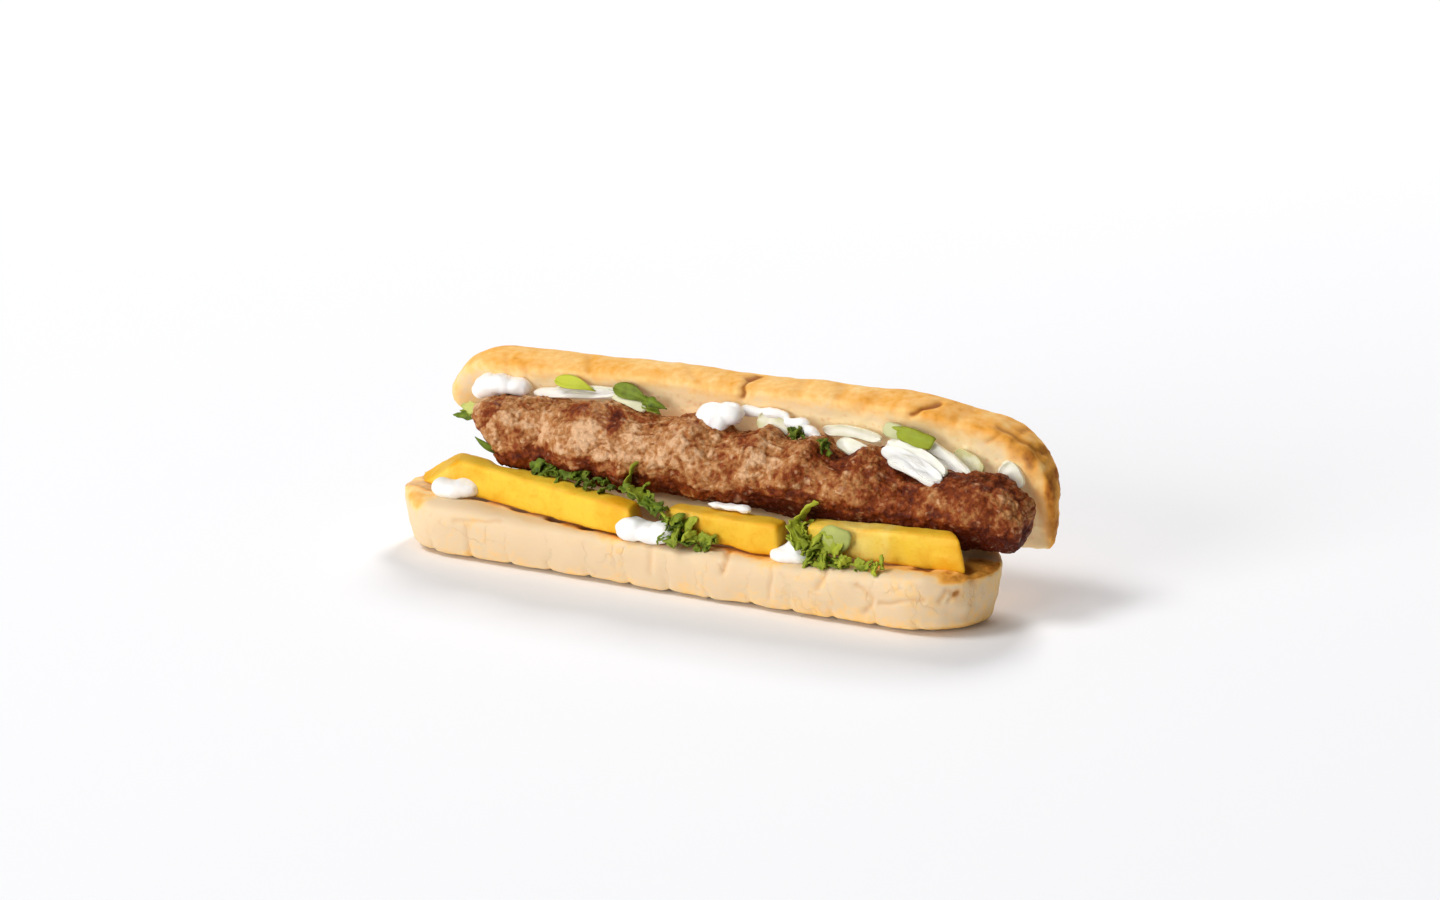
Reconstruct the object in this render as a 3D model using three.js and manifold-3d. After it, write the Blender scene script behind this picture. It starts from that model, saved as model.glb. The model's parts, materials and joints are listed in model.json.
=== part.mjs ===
// A beef kebab roll: a grilled minced-beef kebab with thick chips, white sauce, onion and parsley
// in a soft roll that is cut along its length and opened on an uncut spine at the back.
// Millimetres. +X runs along the roll, +Y to the spine at the back, +Z up. The roll lies on z = 0.

import * as THREE from 'three';
import { mergeVertices } from 'three/addons/utils/BufferGeometryUtils.js';
import Module from 'manifold-3d';

const wasm = await Module();
wasm.setup();

// Driving dimensions of the roll
const BASE_LENGTH = 232;
const BASE_CENTRE_X = -3;
const LID_LENGTH = 239;
const LID_CENTRE_X = 5.3;
const ROLL_WIDTH = 50;
const LID_WIDTH = 53;
const LID_THICKNESS = 20.5;
const SPINE_Y = ROLL_WIDTH / 2;
const SPINE_RADIUS = 7;
const SPINE_START = -84;
const SPINE_END = 104;
const SCALLOP_PITCH = 16;
const SCALLOP_DEPTH = 1.3;

// Driving dimensions of the filling
const KEBAB_LENGTH = 217;
const KEBAB_CENTRE_X = 13.5;
const KEBAB_RADIUS = 13.4;
const LEAF_THICKNESS = 0.9;
const ONION_THICKNESS = 1.8;
const GAP = 0.32;

const crustMaterial = new THREE.MeshStandardMaterial({ color: 0xe2b878, roughness: 0.75, metalness: 0 });
const beefMaterial = new THREE.MeshStandardMaterial({ color: 0x8a5434, roughness: 0.5, metalness: 0 });
const chipMaterial = new THREE.MeshStandardMaterial({ color: 0xf3c22f, roughness: 0.45, metalness: 0 });
const sauceMaterial = new THREE.MeshStandardMaterial({ color: 0xf7f2ea, roughness: 0.25, metalness: 0 });
const onionMaterial = new THREE.MeshStandardMaterial({ color: 0xe6e6cc, roughness: 0.3, metalness: 0 });
const herbMaterial = new THREE.MeshStandardMaterial({ color: 0x4f8428, roughness: 0.5, metalness: 0 });

// Smooth seeded noise in the range -1 to 1
function lattice(i, j, k, seed) {
  const wave = Math.sin(i * 127.1 + j * 311.7 + k * 74.7 + seed * 53.3) * 43758.5453;
  return 2 * (wave - Math.floor(wave)) - 1;
}

function noise(x, y, z, seed) {
  const cell = [x, y, z].map(Math.floor);
  const ease = [x, y, z].map((v, n) => THREE.MathUtils.smootherstep(v - cell[n], 0, 1));
  let sum = 0;
  for (const dx of [0, 1]) {
    for (const dy of [0, 1]) {
      for (const dz of [0, 1]) {
        const weight = (dx ? ease[0] : 1 - ease[0]) * (dy ? ease[1] : 1 - ease[1])
          * (dz ? ease[2] : 1 - ease[2]);
        sum += weight * lattice(cell[0] + dx, cell[1] + dy, cell[2] + dz, seed);
      }
    }
  }
  return sum;
}

const { lerp, clamp, smoothstep, degToRad } = THREE.MathUtils;

// A smooth profile through [place, value] pairs
function through(pairs) {
  return (x) => {
    if (x <= pairs[0][0]) return pairs[0][1];
    for (let n = 1; n < pairs.length; n += 1) {
      const [x0, v0] = pairs[n - 1];
      const [x1, v1] = pairs[n];
      if (x <= x1) return lerp(v0, v1, smoothstep(x, x0, x1));
    }
    return pairs[pairs.length - 1][1];
  };
}

// Geometry and solids
function reshape(geometry, move) {
  const place = geometry.getAttribute('position');
  const point = new THREE.Vector3();
  for (let n = 0; n < place.count; n += 1) {
    point.fromBufferAttribute(place, n);
    const moved = move(point.clone());
    place.setXYZ(n, moved.x, moved.y, moved.z);
  }
  return geometry;
}

function merged(geometry) {
  const bare = geometry.clone();
  bare.deleteAttribute('normal');
  bare.deleteAttribute('uv');
  return mergeVertices(bare, 1e-4);
}

function toSolid(geometry) {
  const bare = merged(geometry);
  const vertProperties = new Float32Array(bare.getAttribute('position').array);
  const triVerts = new Uint32Array(bare.getIndex().array);
  return new wasm.Manifold(new wasm.Mesh({ numProp: 3, vertProperties, triVerts }));
}

function toGeometry(solid) {
  const { vertProperties, triVerts } = solid.getMesh();
  const geometry = new THREE.BufferGeometry();
  geometry.setAttribute('position', new THREE.Float32BufferAttribute(vertProperties, 3));
  geometry.setIndex(Array.from(triVerts));
  geometry.computeVertexNormals();
  return geometry;
}

function grown(geometry, gap) {
  const bare = merged(geometry);
  bare.computeVertexNormals();
  const normal = bare.getAttribute('normal');
  const place = bare.getAttribute('position');
  for (let n = 0; n < place.count; n += 1) {
    place.setXYZ(
      n,
      place.getX(n) + gap * normal.getX(n),
      place.getY(n) + gap * normal.getY(n),
      place.getZ(n) + gap * normal.getZ(n),
    );
  }
  return bare;
}

function largestPart(solid) {
  return solid.decompose().sort((a, b) => b.volume() - a.volume())[0];
}

function piece(name, geometry, material, position = [0, 0, 0], turn = [0, 0, 0]) {
  const mesh = new THREE.Mesh(geometry, material);
  mesh.name = name;
  mesh.position.set(...position);
  mesh.rotation.set(...turn.map(degToRad), 'ZYX');
  mesh.updateMatrixWorld(true);
  return mesh;
}

// Cuts a piece back from its neighbours, which keep a small gap to it
function fitted(mesh, neighbours, gap = GAP) {
  let solid = toSolid(mesh.geometry);
  const intoPiece = mesh.matrixWorld.clone().invert();
  for (const neighbour of neighbours) {
    const tool = grown(neighbour.geometry, gap);
    tool.applyMatrix4(intoPiece.clone().multiply(neighbour.matrixWorld));
    solid = solid.subtract(toSolid(tool));
  }
  mesh.geometry = toGeometry(largestPart(solid));
  return mesh;
}

// Height of the base's cut face along the roll: pressed down under the filling, thick at the right
const baseTop = through([[-118, 22], [-92, 20.3], [-45, 18.4], [0, 18], [45, 19], [80, 21.2], [105, 23]]);

// Angle between the lid's cut face and the base's, in degrees
const lidAngle = through([[-115, 69], [-30, 72], [60, 74], [120, 77]]);

// Depth of the crust's creases, which run across the roll
function crease(x, across, places, slant) {
  return places.reduce((sum, [place, depth, width]) => {
    const off = (x - place - slant * across) / width;
    return sum + depth * Math.exp(-off * off);
  }, 0);
}

// One half of the roll from a box: s runs into the rounded ends, t across (-1 to 1), and q from the
// cut face to the crust (0 to 1). The roundings are 0 for a sharp corner and 1 for a full circle.
function halfRoll(segments, { length, width, endReach, planRound, endRound, sectionRound }) {
  const box = new THREE.BoxGeometry(2, 2, 1, ...segments);
  return (place) => reshape(box, (point) => {
    const along = point.x * length / 2;
    const straight = length / 2 - endReach;
    const s = clamp((Math.abs(along) - straight) / endReach, 0, 1);
    const t = point.y;
    const q = 0.5 - point.z;
    const a = planRound(point.x, t);
    const b = endRound;
    const m = sectionRound;
    const reach = s * Math.sqrt(1 - a * t * t / 2 - b * q * q / 2 + a * b * t * t * q * q / 3);
    const across = t * Math.sqrt(1 - a * s * s / 2 - m * q * q / 2 + a * m * s * s * q * q / 3);
    const deep = q * Math.sqrt(1 - b * s * s / 2 - m * t * t / 2 + b * m * s * s * t * t / 3);
    const x = s > 0 ? Math.sign(along) * (straight + endReach * reach) : along;
    return place(x, across * width / 2, deep, q);
  });
}

function baseHalf() {
  const shape = halfRoll([58, 8, 3], {
    length: BASE_LENGTH,
    width: ROLL_WIDTH,
    endReach: ROLL_WIDTH / 2,
    planRound: () => 1,
    endRound: 0.5,
    sectionRound: 0.5,
  });
  const geometry = shape((x, y, deep, q) => {
    const top = baseTop(x);
    const pressed = 1.2;
    const scallop = SCALLOP_DEPTH * Math.max(0, Math.cos(2 * Math.PI * x / SCALLOP_PITCH)) ** 2;
    const sag = 1.2 * (1 - q) * (1 - Math.pow(2 * y / ROLL_WIDTH, 4));
    const dent = 0.5 * noise(x / 9, y / 9, 0, 3) * (1 - q);
    const z = top - deep * (top + pressed) - sag + dent;
    const swell = 1 + 0.012 * noise(x / 15, q * 2, y > 0 ? 1 : 0, 5);
    return new THREE.Vector3(x, y * swell, Math.max(z, deep > 0.8 ? scallop : 0));
  });
  geometry.translate(BASE_CENTRE_X, 0, 0);
  return geometry;
}

function lidHalf() {
  const creases = [[-70, 0.5, 3], [-28, 0.7, 2.5], [16, 1.1, 2.5], [40, 0.6, 3], [58, 0.5, 3],
    [82, 1.2, 2.5], [100, 0.8, 2.5], [112, 0.7, 2.5]];
  const shape = halfRoll([42, 8, 3], {
    length: LID_LENGTH,
    width: LID_WIDTH,
    endReach: LID_WIDTH / 2,
    planRound: (u, t) => (u > 0 && t < 0 ? 0.35 : 1),
    endRound: 0.7,
    sectionRound: 0.55,
  });
  const geometry = shape((x, across, deep, q) => {
    const narrow = 1 - 0.09 * smoothstep(-x, 20, 100) - 0.14 * smoothstep(x, 48, 112);
    const drop = 3 * smoothstep(x, 66, 116);
    const up = (across + LID_WIDTH / 2) * narrow;
    const cutBack = 14 * smoothstep(32 - up, 0, 22) * smoothstep(-x, 80, 112);
    const inside = (1 - Math.pow(2 * across / LID_WIDTH, 4)) * (1 - Math.pow(2 * x / LID_LENGTH, 6));
    const hollow = 2.4 * (1 - q) * inside;
    const relief = 0.5 * noise(x / 14, across / 14, q, 9) - crease(x, across, creases, -0.25);
    const out = deep * (LID_THICKNESS + relief) + hollow;
    const angle = degToRad(lidAngle(x));
    return new THREE.Vector3(
      x + LID_CENTRE_X + cutBack,
      SPINE_Y - up * Math.cos(angle) + out * Math.sin(angle),
      baseTop(x) - drop + up * Math.sin(angle) + out * Math.cos(angle),
    );
  });
  return geometry;
}

// The uncut spine that joins the two halves at the back
function spine() {
  const straight = SPINE_END - SPINE_START - 2 * SPINE_RADIUS;
  const roller = new THREE.CapsuleGeometry(SPINE_RADIUS, straight, 3, 9, 11);
  roller.rotateZ(-Math.PI / 2);
  roller.translate((SPINE_START + SPINE_END) / 2, SPINE_Y - 4.5, 0);
  return reshape(roller, (p) => new THREE.Vector3(p.x, p.y, p.z + baseTop(p.x) + 1));
}

function breadRoll() {
  const whole = toSolid(baseHalf()).add(toSolid(spine())).add(toSolid(lidHalf()));
  return piece('bread_roll', toGeometry(whole), crustMaterial);
}

// The kebab, a lumpy sausage of minced beef that sags along the roll
const kebabY = through([[-105, 5], [-30, 4.6], [30, 6], [70, 7.6], [120, 9]]);
const kebabZ = through([[-105, 41.2], [-60, 42.6], [-20, 42.6], [25, 42.1], [55, 40], [85, 37], [120, 36]]);
const kebabGirth = through([[-105, 0.9], [-80, 0.98], [-30, 1.1], [20, 1.12], [60, 1.03], [90, 0.96],
  [115, 0.93]]);

function kebab() {
  const body = new THREE.CapsuleGeometry(KEBAB_RADIUS, KEBAB_LENGTH - 2 * KEBAB_RADIUS, 4, 18, 39);
  body.rotateZ(-Math.PI / 2);
  const geometry = reshape(body, (p) => {
    const leftEnd = smoothstep(-p.x, KEBAB_LENGTH / 2 - 30, KEBAB_LENGTH / 2);
    const x = p.x + KEBAB_CENTRE_X - 0.3 * p.z * leftEnd;
    const lumps = 0.11 * noise(x / 16, p.y / 16, p.z / 16, 21) + 0.06 * noise(x / 7, p.y / 7, p.z / 7, 22);
    const girth = kebabGirth(x) * (1 + lumps);
    return new THREE.Vector3(x, p.y * girth + kebabY(x), p.z * girth + kebabZ(x));
  });
  return piece('beef_kebab', geometry, beefMaterial);
}

// A thick chip: a bar with soft edges, its height given at both ends, and ends cut at a slant
function chip(name, { length, depth, heights, slantLeft, slantRight, twist, seed }, position, turn) {
  const bar = new THREE.BoxGeometry(2, 2, 2, 9, 3, 3);
  reshape(bar, (p) => {
    const end = Math.abs(p.x);
    const soft = 0.2;
    const y = p.y * Math.sqrt(1 - soft * p.z * p.z / 2 - soft * end ** 8 / 2);
    const z = p.z * Math.sqrt(1 - soft * p.y * p.y / 2 - soft * end ** 8 / 2);
    const slant = p.x > 0 ? slantRight : slantLeft;
    const pull = (slant[0] * (1 + p.y) + slant[1] * (1 + p.z)) / 2 * Math.max(0, end - 0.45) / 0.55;
    const x = Math.sign(p.x) * (end * length / 2 - pull);
    const size = 1 + 0.05 * noise(x / 18, y, z, seed);
    const lean = degToRad(twist) * p.x;
    const yy = y * depth / 2 * size;
    const zz = z * lerp(heights[0], heights[1], (p.x + 1) / 2) / 2 * size;
    return new THREE.Vector3(
      x,
      yy * Math.cos(lean) - zz * Math.sin(lean),
      yy * Math.sin(lean) + zz * Math.cos(lean),
    );
  });
  return piece(name, bar, chipMaterial, position, turn);
}

// A spoonful of thick sauce: a squashed ball with a lumpy outline
function dollop(name, size, position, turn, seed) {
  const ball = new THREE.SphereGeometry(1, 12, 7);
  reshape(ball, (p) => {
    const lump = 1 + 0.16 * noise(p.x * 1.6, p.y * 1.6, p.z * 1.6, seed);
    return new THREE.Vector3(p.x * size[0] * lump, p.y * size[1] * lump, p.z * size[2] * lump);
  });
  return piece(name, ball, sauceMaterial, position, turn);
}

// A frame that follows a path: the middle of the path, and a way to step across it and off it
function follow(path, facing) {
  const points = path.map((p) => new THREE.Vector3(...p));
  const curve = new THREE.CatmullRomCurve3(points);
  const middle = new THREE.Box3().setFromPoints(points).getCenter(new THREE.Vector3());
  const front = new THREE.Vector3(...facing).normalize();
  const at = (u, across, off) => {
    const inside = clamp(u, 0, 1);
    const tangent = curve.getTangent(inside);
    const side = new THREE.Vector3().crossVectors(front, tangent).normalize();
    const out = new THREE.Vector3().crossVectors(tangent, side).normalize();
    return curve.getPoint(inside).sub(middle)
      .addScaledVector(tangent, (u - inside) * curve.getLength())
      .addScaledVector(side, across)
      .addScaledVector(out, off);
  };
  return { middle: middle.toArray(), at };
}

// A smear of sauce along a path
function smear(name, { path, facing, width, height, seed }) {
  const { middle, at } = follow(path, facing);
  const ball = new THREE.SphereGeometry(1, 8, 12);
  ball.rotateZ(Math.PI / 2);
  reshape(ball, (p) => {
    const lump = 1 + 0.2 * noise(p.x * 3, p.y, p.z, seed);
    return at((p.x + 1) / 2, p.y * width / 2 * lump, p.z * height / 2 * lump);
  });
  return piece(name, ball, sauceMaterial, middle);
}

// A closed solid from a thin surface: both faces are split alike and joined round the edge
function sheetSolid(columns, rows, thickness, surface) {
  const plane = new THREE.PlaneGeometry(1, 1, columns, rows);
  const place = plane.getAttribute('position');
  const count = place.count;
  const points = [];
  const step = 1e-3;
  for (const side of [1, -1]) {
    for (let n = 0; n < count; n += 1) {
      const u = place.getX(n) + 0.5;
      const v = 2 * place.getY(n);
      const along = surface(u + step, v).sub(surface(u - step, v));
      const across = surface(u, v + step).sub(surface(u, v - step));
      const normal = along.cross(across).normalize();
      points.push(...surface(u, v).addScaledVector(normal, side * thickness / 2).toArray());
    }
  }
  const face = Array.from(plane.getIndex().array);
  const index = [...face];
  for (let n = 0; n < face.length; n += 3) {
    index.push(face[n] + count, face[n + 2] + count, face[n + 1] + count);
  }
  const border = [];
  for (let c = 0; c < columns; c += 1) border.push(c);
  for (let r = 0; r < rows; r += 1) border.push(r * (columns + 1) + columns);
  for (let c = columns; c > 0; c -= 1) border.push(rows * (columns + 1) + c);
  for (let r = rows; r > 0; r -= 1) border.push(r * (columns + 1));
  border.forEach((a, n) => {
    const b = border[(n + 1) % border.length];
    index.push(a, b, b + count, a, b + count, a + count);
  });
  const geometry = new THREE.BufferGeometry();
  geometry.setAttribute('position', new THREE.Float32BufferAttribute(points, 3));
  geometry.setIndex(index);
  return geometry;
}

// A parsley leaf along a path: a lobed outline, cupped and wavy
function leaf(name, { path, facing, width, lobes = 2, cup = 0.6, wave = 0.7, seed }) {
  const { middle, at } = follow(path, facing);
  const columns = Math.max(6, 4 * lobes);
  const geometry = sheetSolid(columns, 2, LEAF_THICKNESS, (u, v) => {
    const body = Math.pow(Math.sin(Math.PI * clamp(u * 0.9 + 0.06, 0.03, 0.97)), 0.55);
    const notch = 1 - 0.4 * Math.pow(Math.abs(Math.cos(Math.PI * lobes * u)), 3);
    const across = v * Math.max(0.6, body * notch * width / 2);
    return at(u, across, cup * v * v + wave * noise(u * 4, v * 1.5, 0, seed));
  });
  return piece(name, geometry, herbMaterial, middle);
}

// A slice of onion along a path: one layer of the bulb, hollow across
function onion(name, { path, facing, width, thickness = ONION_THICKNESS, cup = 0.8, seed }) {
  const { middle, at } = follow(path, facing);
  const geometry = sheetSolid(8, 2, thickness, (u, v) => {
    const taper = 1 - 0.55 * Math.pow(Math.abs(2 * u - 1), 3);
    return at(u, v * width * taper / 2, cup * v * v + 0.3 * noise(u * 3, v, 0, seed));
  });
  return piece(name, geometry, onionMaterial, middle);
}

// Which way a thin piece's broad side looks
const FRONT = [0, -1, 0.3];
const SLOPE = [0, -1, 1];
const UP = [0, -0.4, 1];

const bread = breadRoll();
const beef = kebab();
const chips = [
  chip('chip_left', {
    length: 98, depth: 11, heights: [13.6, 11.8], slantLeft: [-8, 18], slantRight: [3, 2],
    twist: 2, seed: 31,
  }, [-63.2, -9.6, 25.8], [0, 1.6, -9.9]),
  chip('chip_middle', {
    length: 47, depth: 10, heights: [10.4, 12.6], slantLeft: [0, 0], slantRight: [1, 1],
    twist: 2, seed: 32,
  }, [16, -12.6, 24.8], [0, 0, -3]),
  chip('chip_right', {
    length: 59.8, depth: 10, heights: [10.6, 14.2], slantLeft: [0, 0], slantRight: [7, 2.5],
    twist: 0, seed: 33,
  }, [76.9, -8.6, 27.2], [0, -1.4, 2.5]),
].map((bar) => fitted(bar, [beef]));
fitted(bread, [beef, ...chips]);

const sauces = [
  dollop('sauce_lower_left', [9, 6.5, 3.6], [-95.5, -12, 23], [0, 2, -10], 41),
  dollop('sauce_lower_middle', [11, 5, 4.2], [-12.5, -20.5, 22], [0, 3, -6], 42),
  dollop('sauce_lower_right', [7.5, 5.5, 4.4], [43, -16.2, 21.6], [0, 2, 0], 43),
  dollop('sauce_upper_left', [10.5, 5, 4.6], [-87, 9.5, 57], [20, 4, 0], 44),
  dollop('sauce_upper_middle', [8.6, 5.5, 5.6], [3, 6.5, 59.2], [20, 8, 0], 45),
  smear('sauce_streak', {
    path: [[9, 11.5, 60.4], [22, 11.5, 61], [32.5, 10, 58.8], [41, 7.8, 55.6]],
    facing: FRONT, width: 4.4, height: 3, seed: 46,
  }),
  smear('sauce_on_chip', {
    path: [[6, -10.5, 31.6], [15, -11.2, 32], [25, -11.4, 32.4]],
    facing: UP, width: 5, height: 2.2, seed: 47,
  }),
];

const onions = [
  onion('onion_strip', {
    path: [[-73, 10, 56.4], [-57, 9.5, 58.8], [-41, 9.5, 60.6]],
    facing: FRONT, width: 4, seed: 51,
  }),
  onion('onion_olive', {
    path: [[16, 10.5, 58.8], [22.5, 10, 57.4], [28, 9.5, 54.8]],
    facing: FRONT, width: 7, seed: 53,
  }),
  onion('onion_light', {
    path: [[48.4, 8, 55.6], [56.6, 7, 54], [64, 6, 52.4]],
    facing: SLOPE, width: 5.5, seed: 54,
  }),
  onion('onion_sliver', {
    path: [[40, 13.5, 57.3], [51, 13.5, 57.8], [63, 12.5, 57.2]],
    facing: FRONT, width: 4, thickness: 1.4, seed: 55,
  }),
  onion('onion_white', {
    path: [[65, 9.5, 55], [77.5, 6.5, 53], [90.5, 3, 48.6]],
    facing: SLOPE, width: 9.5, thickness: 2.4, seed: 56,
  }),
  onion('onion_wedge', {
    path: [[81, 13, 55.5], [89.5, 11.5, 52.4], [98, 9.5, 49.4]],
    facing: FRONT, width: 6.5, seed: 57,
  }),
  onion('onion_back', {
    path: [[88.5, 16, 54], [95, 15, 52.2], [100.6, 14, 48.8]],
    facing: FRONT, width: 7, seed: 58,
  }),
  onion('onion_end', {
    path: [[106.5, 17, 52.5], [110.5, 17, 49.8], [113, 17, 45.2]],
    facing: FRONT, width: 7, thickness: 2, seed: 59,
  }),
];

const leaves = [
  leaf('leaf_far_left', {
    path: [[-110, 13, 42], [-104, 12, 44.6], [-96, 10.5, 47]],
    facing: FRONT, width: 7, seed: 61,
  }),
  leaf('leaf_spike', {
    path: [[-88, -9, 42.4], [-86.4, -8, 39], [-83.8, -7, 35.6]],
    facing: FRONT, width: 3, lobes: 1, seed: 62,
  }),
  leaf('leaf_under_kebab', {
    path: [[-67, -7, 32.8], [-48, -9.5, 32.6], [-31, -12, 32.2]],
    facing: UP, width: 7, lobes: 4, seed: 63,
  }),
  leaf('leaf_sprig', {
    path: [[-27, -9.5, 34], [-16.5, -13.4, 33], [-7, -18.6, 30.4], [-1, -20.8, 25.6], [5, -21.2, 22],
      [15.6, -20.8, 21.4]],
    facing: [0.3, -1, 0.6], width: 8, lobes: 5, seed: 64,
  }),
  leaf('leaf_bunch', {
    path: [[41, -8, 30.4], [46, -13.4, 28.4], [51, -16.8, 24], [60, -18.8, 22], [70, -20, 21.8],
      [78, -20, 22]],
    facing: [0, -1, 0.5], width: 9, lobes: 5, seed: 65,
  }),
  leaf('leaf_on_chip', {
    path: [[55, -15.6, 29.2], [60.2, -15.6, 28], [65.5, -15.4, 26.8]],
    facing: [0, -1, 0.1], width: 9, lobes: 1, cup: 0.2, wave: 0.2, seed: 66,
  }),
  leaf('leaf_yellow', {
    path: [[-64, 9.5, 61.4], [-57, 9.5, 62.4], [-49, 8.5, 61.4]],
    facing: SLOPE, width: 5, lobes: 1, seed: 67,
  }),
  leaf('leaf_upper', {
    path: [[-40, 9.5, 62.6], [-31.4, 8.6, 61.6], [-25, 7.4, 59.2], [-18, 6.6, 58.6]],
    facing: SLOPE, width: 7, lobes: 2, seed: 68,
  }),
  leaf('leaf_dark_a', {
    path: [[28, 8, 57], [33, 8, 57.4], [38.5, 7.6, 56.8]],
    facing: SLOPE, width: 4.4, lobes: 1, seed: 69,
  }),
  leaf('leaf_dark_b', {
    path: [[41, 4, 55], [45.2, 4, 55.8], [49.7, 3.6, 55.6]],
    facing: SLOPE, width: 5, lobes: 1, seed: 70,
  }),
  leaf('leaf_stalk', {
    path: [[65, 12, 61.4], [73.6, 12, 60], [83, 11, 58.6]],
    facing: FRONT, width: 5.4, lobes: 1, cup: 0.4, wave: 0.3, seed: 71,
  }),
];

const pieces = [bread, beef, ...chips];
for (const extra of [...sauces, ...onions, ...leaves]) {
  fitted(extra, pieces);
  pieces.push(extra);
}

const group = new THREE.Group();
group.add(...pieces);

// The origin is under the middle of the whole
group.updateMatrixWorld(true);
const bounds = new THREE.Box3().setFromObject(group, true);
const middle = bounds.getCenter(new THREE.Vector3());
group.position.set(-middle.x, -middle.y, -bounds.min.z);
group.updateMatrixWorld(true);

export default group;
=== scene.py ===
"""A beef kebab sandwich in a split roll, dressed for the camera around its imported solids."""

import json
import math
from functools import partial
from types import SimpleNamespace

import bpy
from bpy.props import FloatProperty, FloatVectorProperty, PointerProperty
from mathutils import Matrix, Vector, noise
from mathutils.bvhtree import BVHTree

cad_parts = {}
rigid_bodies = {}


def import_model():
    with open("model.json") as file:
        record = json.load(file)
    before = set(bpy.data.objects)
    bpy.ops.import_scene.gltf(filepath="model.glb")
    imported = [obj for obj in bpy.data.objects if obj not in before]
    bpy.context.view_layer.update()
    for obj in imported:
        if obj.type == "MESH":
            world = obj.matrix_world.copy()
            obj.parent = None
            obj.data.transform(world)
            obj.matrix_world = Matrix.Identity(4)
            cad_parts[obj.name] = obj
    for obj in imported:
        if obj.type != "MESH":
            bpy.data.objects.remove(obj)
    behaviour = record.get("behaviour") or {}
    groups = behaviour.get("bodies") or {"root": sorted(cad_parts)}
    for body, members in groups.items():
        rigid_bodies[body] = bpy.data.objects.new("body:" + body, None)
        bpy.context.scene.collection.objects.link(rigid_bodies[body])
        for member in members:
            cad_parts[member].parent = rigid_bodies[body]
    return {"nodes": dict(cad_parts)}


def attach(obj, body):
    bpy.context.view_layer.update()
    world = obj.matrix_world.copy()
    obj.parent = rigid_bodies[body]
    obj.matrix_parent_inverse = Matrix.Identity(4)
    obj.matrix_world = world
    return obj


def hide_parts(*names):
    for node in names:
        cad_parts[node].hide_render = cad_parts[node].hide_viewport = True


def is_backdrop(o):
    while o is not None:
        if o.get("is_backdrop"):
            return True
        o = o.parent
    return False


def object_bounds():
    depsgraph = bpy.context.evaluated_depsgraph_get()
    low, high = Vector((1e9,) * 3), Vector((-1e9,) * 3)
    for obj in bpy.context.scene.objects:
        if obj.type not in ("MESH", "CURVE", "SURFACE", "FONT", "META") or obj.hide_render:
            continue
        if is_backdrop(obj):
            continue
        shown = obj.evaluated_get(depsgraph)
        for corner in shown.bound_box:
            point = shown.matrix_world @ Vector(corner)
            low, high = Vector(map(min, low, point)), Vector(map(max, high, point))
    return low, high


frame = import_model()
solids_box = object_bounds()

bl_info = {
    "name": "Kebab sandwich",
    "version": (1, 0, 0),
    "blender": (4, 5, 0),
    "location": "View3D > Sidebar > Kebab",
    "description": "Builds a beef kebab sandwich in a split roll, and a studio to show it in",
    "category": "Object",
}

MM = 0.001
# The solids' own source lays the roll out from a point that is this far from the frame's origin
SOURCE_SHIFT = Vector((-2.9, -7.6, 0.0))
# Size of the faces of the chips' and the sauce's skins
CHIP_GRID, SAUCE_GRID = 0.5 * MM, 0.4 * MM
# Every piece's skin grid is multiplied by this; a larger value gives a coarser skin
GRID_FACTOR = 1.0
# The camera's place round the roll in the photograph, in degrees
AZIMUTH, ELEVATION = 27.5, 17.0


def colour(hex_value):
    """An sRGB hex value such as #F4DDB9 as linear red, green, blue and alpha."""
    channels = [int(hex_value[i : i + 2], 16) / 255 for i in (1, 3, 5)]
    return (*[c / 12.92 if c <= 0.04045 else ((c + 0.055) / 1.055) ** 2.4 for c in channels], 1.0)


def clamp(value, low=0.0, high=1.0):
    return max(low, min(high, value))


def ease(value, low, high):
    """0 at low, 1 at high, and a smooth step between; low may be the greater of the two."""
    t = clamp((value - low) / (high - low))
    return t * t * (3 - 2 * t)


def through(pairs):
    """A smooth profile through (place, value) pairs."""

    def at(x):
        if x <= pairs[0][0]:
            return pairs[0][1]
        for (x0, v0), (x1, v1) in zip(pairs, pairs[1:]):
            if x <= x1:
                return v0 + (v1 - v0) * ease(x, x0, x1)
        return pairs[-1][1]

    return at


def source_place(co):
    """A point of the frame, in metres, as the solids' source has it, in millimetres."""
    return co / MM - SOURCE_SHIFT


def frame_place(point):
    """A point of the source, in millimetres, as the frame has it, in metres."""
    return (Vector(point) + SOURCE_SHIFT) * MM


def towards_camera(azimuth, elevation):
    """The direction from the roll to a camera at these angles."""
    turn, rise = math.radians(azimuth), math.radians(elevation)
    return Vector((math.sin(turn) * math.cos(rise), -math.cos(turn) * math.cos(rise), math.sin(rise)))


def wave(place, size, seed=0.0):
    """Smooth noise from about -1 to 1 with features of this size in millimetres."""
    return noise.noise(place / size + Vector((seed, seed * 0.7, seed * 1.3)))


# Properties that a user would change


def colour_property(name, description, hex_value):
    return FloatVectorProperty(
        name=name, description=description, subtype="COLOR", size=4, min=0, max=1, default=colour(hex_value)
    )


def length_property(name, description, millimetres):
    return FloatProperty(
        name=name, description=description, unit="LENGTH", min=0.0001, default=millimetres * MM
    )


def number_property(name, description, value, lowest=0.0):
    return FloatProperty(name=name, description=description, min=lowest, default=value)


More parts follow.
